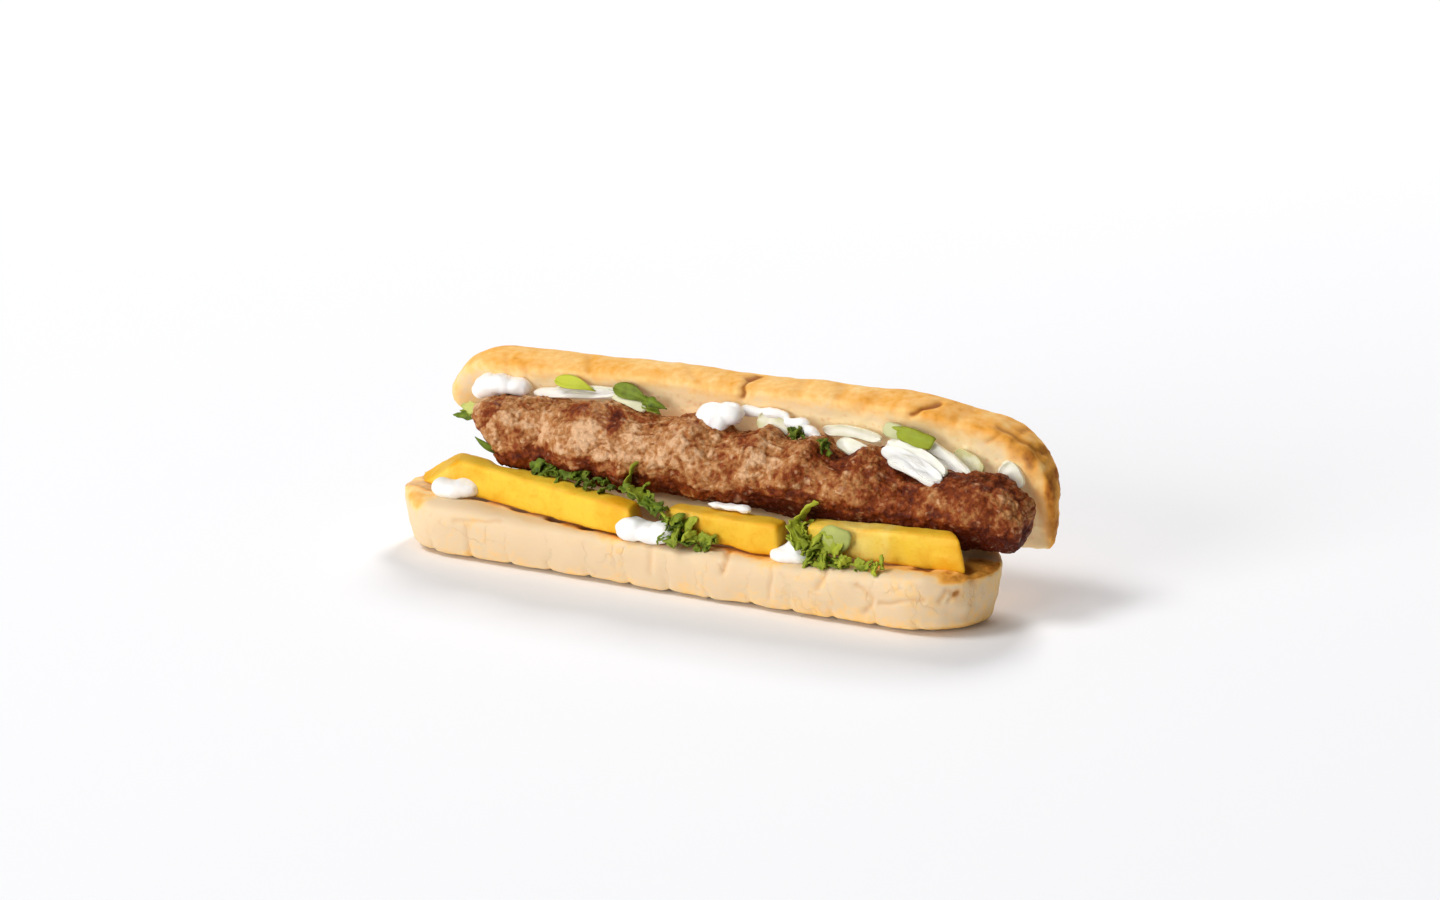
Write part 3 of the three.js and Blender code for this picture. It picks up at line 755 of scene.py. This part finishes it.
def toast_and_shade_of_base(p, normal, at):
    """How toasted the base is: pale at the front, golden at the ends, behind and where it meets the chips;
    painted shade browns the top of its right end.
    """
    under = 0.3 * ease(-normal.z, 0.1, 0.8) + 0.1 * ease(p.z, 10, 2)
    right = 0.2 * ease(p.x, 100, 113) * ease(normal.x, 0.2, 0.8) + 0.08 * ease(p.x, 20, 90)
    left = (0.6 + 0.8 * wave(p, 5, 33)) * ease(-p.x, 90, 106) * ease(p.z, at.top - 7, at.top - 1)
    behind = 0.45 * ease(p.y, 5, 22)
    meet = chips_meet(p.x)
    touch = 1.05 * at.on_top * (0.65 + 0.5 * wave(p, 5, 23)) * ease(p.y, meet - 9, meet - 4.5)
    # Painted shade: the top of the right end, in the kebab's shadow, is browned
    shaded = at.on_top * (0.65 + 0.8 * wave(p, 3, 35)) * ease(p.x, 98, 103)
    return 0.02 + under + right + left + behind + touch + shaded


class OBJECT_OT_kebab_roll(bpy.types.Operator):
    """Make the split roll"""

    bl_idname = "object.kebab_roll"
    bl_label = "Roll"

    def execute(self, context):
        look = context.scene.kebab_bread
        roll = copy_of("bread_roll", "split_roll")
        skin(roll, look.grid, 12)

        def lid_rim(p):
            """1 along the lid's free front edge, which is rounded."""
            up, depth = lid_place(p)
            return ease(lid_height(p.x) - up, 22, 10) * ease(depth, 11, 4) * ease(p.z, 26, 34)

        soften(roll, lid_rim, 170)

        def front_edge(p):
            """1 along the top of the base's front and ends, where the crust turns over the cut."""
            return ease(p.z, base_top(p.x) - 9, base_top(p.x) - 4) * ease(p.y, -12, -16) * ease(p.z, 27, 25)

        soften(roll, front_edge, 120)

        def baked(p, normal):
            at = part_of_roll(p, normal)
            height, brown = relief_of_roll(p, normal, at)
            toast = clamp(at.lid * toast_of_lid(p, at) + at.base * toast_and_shade_of_base(p, normal, at), 0, 1.3)
            side = clamp(at.base * (1 - at.front_lip) + 0.15 * at.lid)
            return height, at.crumb * (1 - 0.7 * at.front_lip), toast, brown, side * (1 - at.crumb)

        dress(roll, ("crumb", "toast", "crease", "side"), baked)
        for vertex in roll.data.vertices:
            vertex.co.z = max(vertex.co.z, 0.0)
        finish(roll, bread_material(look), "bread", "bread_roll")
        return {"FINISHED"}


# The kebab's middle height
KEBAB_Z = 44
# Height of the larger lumps along the kebab's top
kebab_lumps = through([
    (-95, 0.64), (-84, 1.28), (-66, -0.48), (-48, 0.8), (-28, -1.44), (-7, 1.6), (5, -2.56), (17, 1.76),
    (26, -1.92), (37, 2.24), (46, -1.6), (57, 1.44), (74, -1.92), (90, 0.32), (105, 1.92), (116, 0),
])
# Patches darker or lighter than around: place, size and amount
TONE_PATCHES = [
    ((-34, -2, 56), 3.4, 0.75), ((-32, -5, 52), 3, 0.6), ((-50, -2, 56.5), 4, 0.55), ((-86, -4, 50), 3.5, 0.4),
    ((-76, -9, 40), 7, 0.45), ((-58, -11, 38), 8, 0.6), ((-44, -12, 35), 6, 0.4), ((88, -13, 37), 7, 0.25),
    ((6, -12, 45), 4, 0.25), ((12, -13, 42), 3.5, 0.25), ((-5, -12, 40), 4, 0.35), ((-45, -8, 50), 4.5, -0.3),
    ((-25, -11, 45), 9, -0.15), ((-62, -8, 48), 5, -0.25), ((-12, -9, 49), 5, -0.3), ((38, -2, 56), 3, -0.15),
    ((58, -6, 50), 5, -0.25), ((78, -10, 42), 4, -0.3), ((105, -4, 48), 5, -0.3),
]


class OBJECT_OT_kebab_beef(bpy.types.Operator):
    """Make the minced-beef kebab"""

    bl_idname = "object.kebab_beef"
    bl_label = "Kebab"

    def execute(self, context):
        look = context.scene.kebab_filling
        grain_size = look.grain / MM
        kebab = copy_of("beef_kebab", "minced_beef_kebab")
        skin(kebab, look.beef_grid, 10)

        def slant(p):
            """The left end leans: its lower part starts further right."""
            lower = 7 * ease(-p.x, 76, 96) * ease(p.z, 50, 34)
            return lower, 0, 0

        move(kebab, slant)

        def nodule(p, size, seed):
            """(height of a grain from 0 to 1, a number that differs from grain to grain)."""
            distances, centres = noise.voronoi(p / size + Vector((seed, 0, 0)))
            return clamp(1 - 1.3 * distances[0] ** 1.5), noise.cell(centres[0] * 7.3)

        def minced(p, normal):
            bent = p + Vector((wave(p, 5), wave(p, 5, 4), wave(p, 5, 8))) * 2.2
            stretched = Vector((bent.x, bent.y * 1.25, bent.z * 1.25))
            big, big_tint = nodule(stretched, grain_size, 0)
            small, small_tint = nodule(stretched, grain_size * 0.5, 5)
            lump = kebab_lumps(p.x + 0.35 * (KEBAB_Z - p.z)) * ease(normal.z, -0.3, 0.6)
            lumps = 1.5 * wave(p, 12, 2) + 0.9 * wave(p, 6.5, 5)
            crack = ease(abs(wave(p, 8, 11)), 0.1, 0.0) * ease(wave(p, 20, 15), -0.1, 0.4)
            height = lump + lumps + 0.9 * (big - 0.6) + 0.6 * (small - 0.6) - 0.7 * crack
            grain = clamp(0.5 * big + 0.5 * small + 0.08 - 0.4 * crack)

            tilt = p.x + 0.5 * (KEBAB_Z - p.z)
            char = 0.1 + 0.26 * ease(tilt, -5, 45) + 0.3 * ease(tilt, 30, 85)
            # Darker on the underside, a painted shade, and somewhat darker on top
            char += 0.9 * ease(-normal.z, -0.12, 0.6) + 0.3 * ease(normal.z, 0.6, 0.95)
            # Darker between the lumps: painted shade
            char += 0.25 * wave(p, 18, 6) - 0.12 * lumps
            for centre, radius, amount in TONE_PATCHES:
                off = (p - Vector(centre)).length / radius
                if off < 2.5:
                    char += amount * math.exp(-off * off)
            return height, grain, 0.35 * big_tint + 0.65 * small_tint, char

        dress(kebab, ("grain", "tint", "char"), minced)
        finish(kebab, beef_material(look), "beef", "beef_kebab")
        return {"FINISHED"}


# Bands across the chips that are more golden or more floury: place along the chip, width, amount
CHIP_BANDS = {
    "left": {"golden": [(-23, 5, 0.8), (-15, 1.5, 0.3), (-92, 6, 0.25)], "floury": [(-100, 8, 0.4)]},
    "middle": {"golden": [(20, 18, 0.35), (36, 3, 0.3)], "floury": [(2, 7, 0.3)]},
    "right": {"golden": [(104, 7, 0.6)], "floury": [(64, 11, 0.8), (77, 1.6, 0.4)]},
}


class OBJECT_OT_kebab_chips(bpy.types.Operator):
    """Make the three thick chips"""

    bl_idname = "object.kebab_chips"
    bl_label = "Chips"

    def execute(self, context):
        look = context.scene.kebab_filling
        material = chip_material(look)
        for number, (where, bands) in enumerate(CHIP_BANDS.items()):
            chip = copy_of(f"chip_{where}", f"thick_chip_{where}")
            skin(chip, CHIP_GRID, 60)

            def fried(p, normal):
                golden, floury = [
                    sum(much * math.exp(-(((p.x - x) / width) ** 2)) for x, width, much in bands[tone])
                    for tone in ("golden", "floury")
                ]
                flat = max(abs(normal.x), abs(normal.y), abs(normal.z))
                height = 0.5 * wave(p, 9, number) + 0.2 * wave(p, 3, number + 5)
                return height, clamp(golden + 0.45 * ease(flat, 0.95, 0.75)), clamp(floury)

            dress(chip, ("golden", "floury"), fried)
            finish(chip, material, "potato", f"chip_{where}")
        return {"FINISHED"}


# Each spoonful or smear of sauce as rounded blobs: centre and half sizes
SAUCES = {
    "lower_left": [
        ((-97, -12.5, 23), (6.8, 5.6, 3.4)), ((-91, -11, 23.6), (5.6, 4.8, 3.2)),
        ((-101, -10.5, 22.6), (4.2, 4.6, 2.8)),
    ],
    "lower_middle": [
        ((-17.4, -20.5, 22), (6.6, 5, 4.4)), ((-11.4, -20.5, 21.6), (6, 4.8, 3.6)),
        ((-6, -20.3, 22), (5.2, 4.6, 3.8)),
    ],
    "lower_right": [((42.4, -17, 20.4), (7.2, 5, 3)), ((45, -15.5, 23), (4.2, 4, 3.4))],
    "upper_left": [
        ((-92.5, 9.5, 56.6), (5.4, 4.4, 4)), ((-87, 9.2, 57.6), (5.6, 4.6, 3.9)),
        ((-81, 10, 57.6), (5.4, 4.2, 3.2)), ((-95.6, 9, 54.4), (3.4, 3.4, 2.8)),
    ],
    "upper_middle": [
        ((1, 5.8, 58.4), (6.8, 5.2, 5.2)), ((7, 7, 60.4), (5, 4.6, 3.9)), ((3.4, 4, 56), (3.6, 3.2, 3.4)),
    ],
    "streak": [
        ((13, 11.5, 60.6), (5.4, 1.6, 2.1)), ((22, 11.5, 60.8), (6, 1.6, 2.2)),
        ((31, 10.2, 59), (5, 1.6, 2.1)), ((37.5, 8.6, 57), (3.6, 1.6, 2.3)),
        ((40.6, 7.8, 55.2), (2.2, 1.5, 2)),
    ],
    "on_chip": [
        ((10, -10.2, 31.9), (3.6, 1.9, 0.8)), ((15.5, -10.6, 32), (4.2, 2, 0.8)),
        ((21, -10.8, 32.2), (3.4, 1.8, 0.8)),
    ],
}


class OBJECT_OT_kebab_sauce(bpy.types.Operator):
    """Make the spoonfuls and smears of white sauce"""

    bl_idname = "object.kebab_sauce"
    bl_label = "Sauce"

    def execute(self, context):
        material = sauce_material(context.scene.kebab_filling)
        chips = [f"thick_chip_{where}" for where in CHIP_BANDS]
        carriers = [skin_of(name) for name in ("split_roll", "minced_beef_kebab", *chips)]
        for number, (where, blobs) in enumerate(SAUCES.items()):
            parts = []
            for centre, half_sizes in blobs:
                bpy.ops.object.select_all(action="DESELECT")
                bpy.ops.mesh.primitive_ico_sphere_add(subdivisions=3, radius=1)
                blob = context.object
                for vertex in blob.data.vertices:
                    vertex.co = frame_place(Vector(centre) + vertex.co * Vector(half_sizes))
                parts.append(blob)
            sauce = join(f"white_sauce_{where}", parts)
            skin(sauce, SAUCE_GRID, 22)

            def thick(p, normal):
                return (0.3 + 0.8 * wave(p, 5, number) + 0.22 * wave(p, 2.2, number + 3),)

            dress(sauce, (), thick)
            modify(sauce, "SMOOTH", factor=0.5, iterations=6)
            lie_on(sauce, carriers)
            finish(sauce, material, "sauce", f"sauce_{where}")
        return {"FINISHED"}


# Thin pieces follow a line through points of the source, with their broad side towards facing
FRONT = (0, -1, 0.3)
SLOPE = (0, -1, 1)
UP = (0, -0.4, 1)


def follow(path, facing):
    """A function from (along from 0 to 1, across, off) to a point, for a smooth line through a path."""
    points = [Vector(point) for point in path]
    front = Vector(facing).normalized()
    spans = len(points) - 1

    def spot(u):
        t = clamp(u) * spans
        i = min(int(t), spans - 1)
        f = t - i
        b, c = points[i], points[i + 1]
        a = points[i - 1] if i else b * 2 - c
        d = points[i + 2] if i + 2 <= spans else c * 2 - b
        return b + 0.5 * f * ((c - a) + f * ((2 * a - 5 * b + 4 * c - d) + f * (3 * b - a - 3 * c + d)))

    def at(u, across, off, nudge=0.01):
        tangent = (spot(min(u + nudge, 1)) - spot(max(u - nudge, 0))).normalized()
        side = front.cross(tangent).normalized()
        return spot(u) + side * across + tangent.cross(side) * off

    return at


def sheet(name, columns, rows, surface):
    """A grid bent to surface(u, v), with u from 0 to 1 and v from -1 to 1, and each vertex's (u, v)."""
    bpy.ops.object.select_all(action="DESELECT")
    bpy.ops.mesh.primitive_grid_add(x_subdivisions=columns, y_subdivisions=rows, size=2)
    piece = bpy.context.object
    piece.name = name
    places = [((vertex.co.x + 1) / 2, vertex.co.y) for vertex in piece.data.vertices]
    for vertex, (u, v) in zip(piece.data.vertices, places):
        vertex.co = frame_place(surface(u, v))
    return piece, places


# Slices of onion: path, broad side, width, thickness, how green, and how much narrower the far end is
ONIONS = {
    "strip": [
        ([(-74, 10, 56.2), (-57, 9.5, 58.4), (-40, 9.5, 60.2)], FRONT, 3.6, 1.08, 0.4, 0),
        ([(-66, 10.4, 58.2), (-52, 10, 60), (-38, 10, 61.6)], FRONT, 2.8, 0.96, 0.8, 0),
    ],
    "olive": [([(16, 10.5, 58.8), (22.5, 10, 57.4), (28, 9.5, 54.8)], FRONT, 7, 1.08, 1.6, 0)],
    "light": [([(48.4, 8, 55.6), (56.6, 7, 54), (64, 6, 52.4)], SLOPE, 5.5, 1.08, 1.0, 0.3)],
    "sliver": [([(40, 13.5, 57.3), (51, 13.5, 57.8), (63, 12.5, 57.2)], FRONT, 4, 0.84, 1.1, 0)],
    "white": [
        ([(66, 11.2, 56.4), (78, 8.4, 54.8), (91, 5, 50.6)], SLOPE, 5.2, 1.2, 0.4, 0),
        ([(65, 9, 54.6), (77, 6, 52.8), (90.5, 2.8, 48.8)], SLOPE, 6, 1.44, 0.05, 0.15),
        ([(68.6, 6.6, 52.6), (78, 4.4, 50.8), (88.4, 1.8, 47.4)], SLOPE, 4.6, 1.2, 0.1, 0.2),
    ],
    "wedge": [
        ([(79.5, 13, 58), (89, 11.5, 54.4), (98, 9.5, 50.6)], FRONT, 4.2, 0.96, 0.5, 0.5),
        ([(80, 12, 55), (89, 10.5, 51.6), (97, 9, 48.6)], FRONT, 4.2, 1.08, 0.2, 0.5),
    ],
    "back": [([(88.5, 16, 54), (95, 15, 52.2), (100.6, 14, 48.8)], FRONT, 7, 1.08, 2.2, 0)],
    "end": [([(106.5, 17, 52.5), (110.5, 17, 49.8), (113, 17, 45.2)], FRONT, 7, 1.2, 0.9, 0)],
}


class OBJECT_OT_kebab_onion(bpy.types.Operator):
    """Make the slices of onion"""

    bl_idname = "object.kebab_onion"
    bl_label = "Onion"

    def execute(self, context):
        material = onion_material(context.scene.kebab_filling)
        for number, (where, cuts) in enumerate(ONIONS.items()):
            slices = []
            for path, facing, width, thickness, green, tip in cuts:
                at = follow(path, facing)
                seed = number + 10 * len(slices)

                def slice_of_onion(u, v):
                    taper = math.sqrt(1 - 0.93 * abs(2 * u - 1) ** 6) * (1 - tip * u**1.5)
                    ragged = 1 + 0.16 * noise.noise(Vector((u * 4, 3 if v > 0 else 8, seed)))
                    curl = 0.4 * v * v + 0.8 * noise.noise(Vector((u * 2.5, v * 0.7, seed)))
                    return at(u, v * width * taper * ragged / 2, curl)

                piece, places = sheet(f"onion_slice_{where}_{seed}", 24, 8, slice_of_onion)
                store(piece, "across", [v + 0.04 * noise.noise(Vector((u * 4, v, 2.0))) for u, v in places])
                store(piece, "green", [green * (0.5 + 0.5 * abs(v)) for u, v in places])
                modify(piece, "SOLIDIFY", thickness=thickness * MM, offset=0.0)
                modify(piece, "BEVEL", width=0.4 * MM, segments=2, limit_method="ANGLE", angle_limit=1.1)
                modify(piece, "SUBSURF", levels=1, render_levels=1)
                slices.append(piece)
            finish(join(f"onion_{where}_slices", slices), material, "onion", f"onion_{where}")
        return {"FINISHED"}


# Each piece of parsley is a leaflet of some kind, with its stalk end, tip, broad side, width, curl, how light
# and how fleshy it is; or a tuft, with the line that its leaflets grow along, broad side, number, size and
# how light it is; or a stem, with its path and radius
LEAVES = {
    "far_left": [
        ("lobed", (-96, 10.5, 46.6), (-106.5, 12.4, 46.4), FRONT, 5, 0.4, 0.8, 0.25),
        ("lobed", (-96, 11, 44), (-110, 12.8, 42.2), FRONT, 3.8, 0.5, 0, 0),
        ("lobed", (-97, 11, 45), (-107, 12.6, 44.2), FRONT, 3.4, 0.5, 0.4, 0),
    ],
    "spike": [("oval", (-80.6, -6.2, 37), (-88, -9, 42.8), FRONT, 2.4, 0.2, 0, 0)],
    # The tufts under the kebab get almost no lightness, so they take the shaded leaf colour: painted shade
    "under_kebab": [
        ("tuft", [(-66, -6, 33.4), (-54, -7.6, 33.6), (-42, -9.2, 33.2), (-29, -11.2, 32.4)],
         UP, 22, 8, 0.05),
        ("tuft", [(-62, -5, 34.6), (-48, -6.8, 34.4), (-32, -9.4, 33.6)], UP, 14, 7.5, 0),
    ],
    "sprig": [
        ("tuft", [(-27, -9.4, 34.4), (-14, -14.6, 33), (-5, -18.4, 28.4), (0, -19.4, 24)],
         (0.3, -1, 0.6), 22, 11, 0.22),
        ("tuft", [(-3, -19, 26), (4, -19.8, 23), (15, -19.9, 21.4)], (0.1, -1, 0.6), 16, 11.2, 0.42),
        ("stem", [(-24, -10.6, 33.8), (-14, -14.8, 32), (-5, -19.6, 28), (2, -21, 22.4)], 0.6),
    ],
    "bunch": [
        ("tuft", [(42, -9.4, 30.8), (46, -13.4, 28.4), (50, -16.2, 25), (57, -18.2, 22.8)],
         (0, -1, 0.5), 26, 12, 0.62),
        ("tuft", [(53, -17, 24.6), (60, -19, 22.8), (70, -20.2, 22.2), (80, -20.6, 22)],
         (0, -1, 0.6), 18, 9.5, 0.52),
        ("stem", [(43, -10, 29.8), (48, -14.8, 26.6), (54, -17.8, 23), (66, -20, 22), (78, -20.5, 22)], 0.5),
    ],
    "on_chip": [
        ("patch", (53.4, -15.9, 29.6), (65, -15.8, 27.4), (0, -1, 0.1), 9.4, 0.5, 0.5, 0.2),
        ("lobed", (53, -16.4, 28.6), (62.4, -16.8, 24), (0, -1, 0.1), 8, 0.5, 0.5, 0),
    ],
    "yellow": [("oval", (-65, 9.5, 62.2), (-48, 8.6, 60.6), SLOPE, 5.6, 0.4, 1, 0)],
    "upper": [
        ("oval", (-41, 9.6, 62.8), (-25, 7.6, 59.4), SLOPE, 6.4, 0.4, 0.12, 0),
        ("stalk", (-40, 8.4, 60.4), (-26, 6.6, 57.2), SLOPE, 4.6, 0.2, 0.5, 0.95),
        ("lobed", (-30, 7.8, 60.6), (-18, 6.4, 58.6), SLOPE, 4.6, 0.7, 0.05, 0),
        ("lobed", (-28, 7.4, 59), (-20.4, 6, 56.4), SLOPE, 4.4, 0.7, 0.2, 0),
    ],
    "dark_a": [("tuft", [(29, 8, 57), (37.6, 7.6, 56.8)], SLOPE, 8, 7, 0)],
    "dark_b": [("tuft", [(42, 4.2, 55.4), (49, 3.4, 55.2)], SLOPE, 8, 7, 0)],
    "stalk": [
        ("stalk", (70, 11.8, 61.2), (83.6, 11, 58.4), FRONT, 5.2, 0.8, 0.45, 0),
        ("stalk", (64.6, 12, 61.6), (71.4, 11.8, 60.6), FRONT, 5, 0.5, 0.5, 0.6),
        ("stem", [(67, 11.2, 62.4), (75, 11, 61.8), (83, 10.2, 59.8)], 0.9),
    ],
}
# How strongly a leaflet's midrib shows, by its kind
MIDRIBS = {"lobed": 0.12, "oval": 0.1, "patch": 0.1, "stalk": 0.0}


def leaflet(name, seed, kind, base, tip, facing, width, curl, light, flesh):
    """One leaflet of parsley: lobed, oval, a blunt patch, or a strip of stalk."""
    base, tip = Vector(base), Vector(tip)
    middle = (base + tip) / 2 + Vector(facing).normalized() * 0.1 * (tip - base).length
    at = follow([base, middle, tip], facing)

    def blade(u, v):
        body = math.sin(math.pi * clamp(u**0.85 * 0.93 + 0.05)) ** (0.6 if kind == "lobed" else 0.8)
        lobes = 1.0
        if kind == "lobed":
            lobes -= 0.32 * (0.5 + 0.5 * math.cos(2 * math.pi * (2.5 * u + 0.15 * (v > 0)))) * ease(u, 0, 0.3)
        cup = 0.9 * v * v * (1 if seed % 3 else -0.7)
        off = curl * (cup + 1.2 * noise.noise(Vector((u * 3, v * 1.7, seed * 3.1))))
        return at(u * (1 - 0.16 * v * v), v * body * lobes * width / 2, off)

    def strip(u, v):
        blunt = (0.6 if kind == "patch" else 0.3) * abs(2 * u - 1) ** 4
        taper = 1 - blunt + 0.1 * noise.noise(Vector((u * 4, v, seed)))
        off = curl * (1.2 * (1 - v * v) + noise.noise(Vector((u * 2, v, seed * 2.3))))
        return at(clamp(u + 0.05 * v), v * taper * width / 2, off)

    piece, places = sheet(name, 14, 8, strip if kind in ("stalk", "patch") else blade)
    store(piece, "vein", [MIDRIBS[kind] * ease(abs(v), 0.2, 0.05) for u, v in places])
    store(piece, "light", [light + 0.12 * noise.noise(Vector((u * 3, v * 2, seed))) for u, v in places])
    store(piece, "flesh", [flesh] * len(places))
    modify(piece, "SOLIDIFY", thickness=(0.9 if kind == "stalk" else 0.35) * MM, offset=0.0)
    return piece


def tuft(name, seed, line, facing, count, size, light):
    """Small leaflets that grow to both sides of a line, each at its own angle."""
    at = follow(line, facing)
    front = Vector(facing).normalized()
    pieces = []
    for i in range(count):
        dice = [noise.cell(Vector((i * 3.7 + 0.5, seed * 5.1 + 0.5, k * 2.9 + 0.5))) for k in range(5)]
        u = (i + 0.6 * dice[0]) / count
        base = at(u, (dice[1] - 0.5) * 0.2 * size, 0)
        ahead = (at(min(u + 0.05, 1.0), 0, 0) - at(max(u - 0.05, 0.0), 0, 0)).normalized()
        side = front.cross(ahead) * (1 if i % 2 else -1)
        way = ahead * (0.35 + 0.5 * dice[2]) + side * (0.3 + 0.7 * dice[3]) + front * 0.3 * dice[4]
        long = size * (0.75 + 0.4 * dice[4]) * (1 - 0.35 * u)
        tip = base + way.normalized() * long * 0.75
        turned = front + side * (dice[0] - 0.5) + ahead * (dice[2] - 0.7)
        shade = clamp(light + 0.35 * (dice[1] - 0.4))
        pieces.append(
            leaflet(f"{name}_{i}", i + 1, "lobed", base, tip, turned, long * 0.85, 0.1 * size, shade, 0.0)
        )
    return pieces


def stem(name, path, radius):
    """A thin round stem, closed at both ends."""
    at = follow(path, FRONT)

    def around(u, v):
        thick = radius * max(0.02, 1 - abs(2 * u - 1) ** 8) ** 0.5
        return at(u, thick * math.sin(math.pi * v), thick * math.cos(math.pi * v))

    piece = sheet(name, 24, 8, around)[0]
    merge(piece, 0.02 * MM, outward=True)
    for number, value in (("vein", 0.2), ("light", 0.35), ("flesh", 0.0)):
        store(piece, number, [value] * len(piece.data.vertices))
    return piece


class OBJECT_OT_kebab_leaves(bpy.types.Operator):
    """Make the parsley"""

    bl_idname = "object.kebab_leaves"
    bl_label = "Parsley"

    def execute(self, context):
        material = leaf_material(context.scene.kebab_filling)
        for where, growths in LEAVES.items():
            parts = []
            for i, (kind, *growth) in enumerate(growths):
                name = f"{kind}_{where}_{i}"
                if kind == "tuft":
                    parts += tuft(name, len(where) + 7 * i, *growth)
                elif kind == "stem":
                    parts.append(stem(name, *growth))
                else:
                    parts.append(leaflet(name, i + 1, kind, *growth))
            finish(join(f"parsley_{where}", parts), material, "herb", f"leaf_{where}")
        return {"FINISHED"}


# Each light's place, and how wide it is, in metres
LIGHTS = {
    "key_light": ((-2.0, -1.8, 4.0), 1.6),
    "front_light": ((-1.6, -4.6, 1.4), 2.4),
    "back_light": ((-0.4, 3.0, 2.8), 1.1),
}
# The camera's sensor is this wide, in millimetres
SENSOR_WIDTH = 36
# The photograph's width in pixels, and how far left of its middle and below it the underside's middle stands
PHOTO_WIDTH = 1440
ROLL_LEFT, ROLL_BELOW = 16, 129


class SCENE_OT_kebab_studio(bpy.types.Operator):
    """Make the floor, the lights and the camera"""

    bl_idname = "scene.kebab_studio"
    bl_label = "Studio"

    def execute(self, context):
        look = context.scene.kebab_studio
        bpy.ops.object.select_all(action="DESELECT")
        bpy.ops.mesh.primitive_plane_add(size=look.floor_size)
        floor = context.object
        floor.name = "studio_floor"
        # Matt white board: bright, with only the soft shadow of the roll on it
        material, add, _ = new_material("matt_white_board")
        surface_of(add, Base_Color=look.floor, Roughness=0.8)
        floor.data.materials.append(material)
        floor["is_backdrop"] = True

        context.scene.view_settings.view_transform = "Standard"
        context.scene.world = bpy.data.worlds.new("soft_studio")
        context.scene.world.use_nodes = True
        sky = context.scene.world.node_tree.nodes["Background"]
        sky.inputs["Color"].default_value = (1, 1, 1, 1)
        sky.inputs["Strength"].default_value = look.sky

        for name, (place, size) in LIGHTS.items():
            bpy.ops.object.light_add(type="AREA", location=place)
            light = context.object
            light.name = name
            light.data.size = size
            light.data.energy = getattr(look, name)
            light.rotation_euler = (-Vector(place)).to_track_quat("-Z", "Y").to_euler()

        back = towards_camera(look.azimuth, look.elevation)
        right = Vector((0, 0, 1)).cross(back).normalized()
        pixel = look.distance * SENSOR_WIDTH / look.lens / PHOTO_WIDTH
        aside = right * ROLL_LEFT * pixel + back.cross(right) * ROLL_BELOW * pixel
        bpy.ops.object.camera_add(location=frame_place((0, 0, 0)) + back * look.distance + aside)
        camera = context.object
        camera.rotation_euler = (-back).to_track_quat("-Z", "Y").to_euler()
        camera.data.lens = look.lens
        camera.data.sensor_width = SENSOR_WIDTH
        camera.data.clip_start = 0.05
        context.scene.camera = camera
        return {"FINISHED"}


class VIEW3D_PT_kebab(bpy.types.Panel):
    """Buttons and settings for the kebab sandwich"""

    bl_label = "Kebab sandwich"
    bl_space_type = "VIEW_3D"
    bl_region_type = "UI"
    bl_category = "Kebab"

    def draw(self, context):
        for operator in OPERATORS:
            self.layout.operator(operator.bl_idname)
        for settings in (context.scene.kebab_bread, context.scene.kebab_filling, context.scene.kebab_studio):
            box = self.layout.box()
            for name in settings.bl_rna.properties.keys():
                if name not in ("rna_type", "name"):
                    box.prop(settings, name)


OPERATORS = (
    SCENE_OT_kebab_studio,
    OBJECT_OT_kebab_roll,
    OBJECT_OT_kebab_beef,
    OBJECT_OT_kebab_chips,
    OBJECT_OT_kebab_sauce,
    OBJECT_OT_kebab_onion,
    OBJECT_OT_kebab_leaves,
)
SETTINGS = {"kebab_bread": BreadSettings, "kebab_filling": FillingSettings, "kebab_studio": StudioSettings}


def register():
    for name, group in SETTINGS.items():
        bpy.utils.register_class(group)
        setattr(bpy.types.Scene, name, PointerProperty(type=group))
    for made in (*OPERATORS, VIEW3D_PT_kebab):
        bpy.utils.register_class(made)


def unregister():
    for made in (VIEW3D_PT_kebab, *reversed(OPERATORS)):
        bpy.utils.unregister_class(made)
    for name, group in SETTINGS.items():
        delattr(bpy.types.Scene, name)
        bpy.utils.unregister_class(group)


def main():
    register()
    bpy.ops.scene.kebab_studio()
    bpy.ops.object.kebab_roll()
    bpy.ops.object.kebab_beef()
    bpy.ops.object.kebab_chips()
    bpy.ops.object.kebab_sauce()
    bpy.ops.object.kebab_onion()
    bpy.ops.object.kebab_leaves()
    boxes = {"solids": solids_box, "visual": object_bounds()}
    {name: [list(corner) for corner in box] for name, box in boxes.items()}


if __name__ == "__main__":
    main()
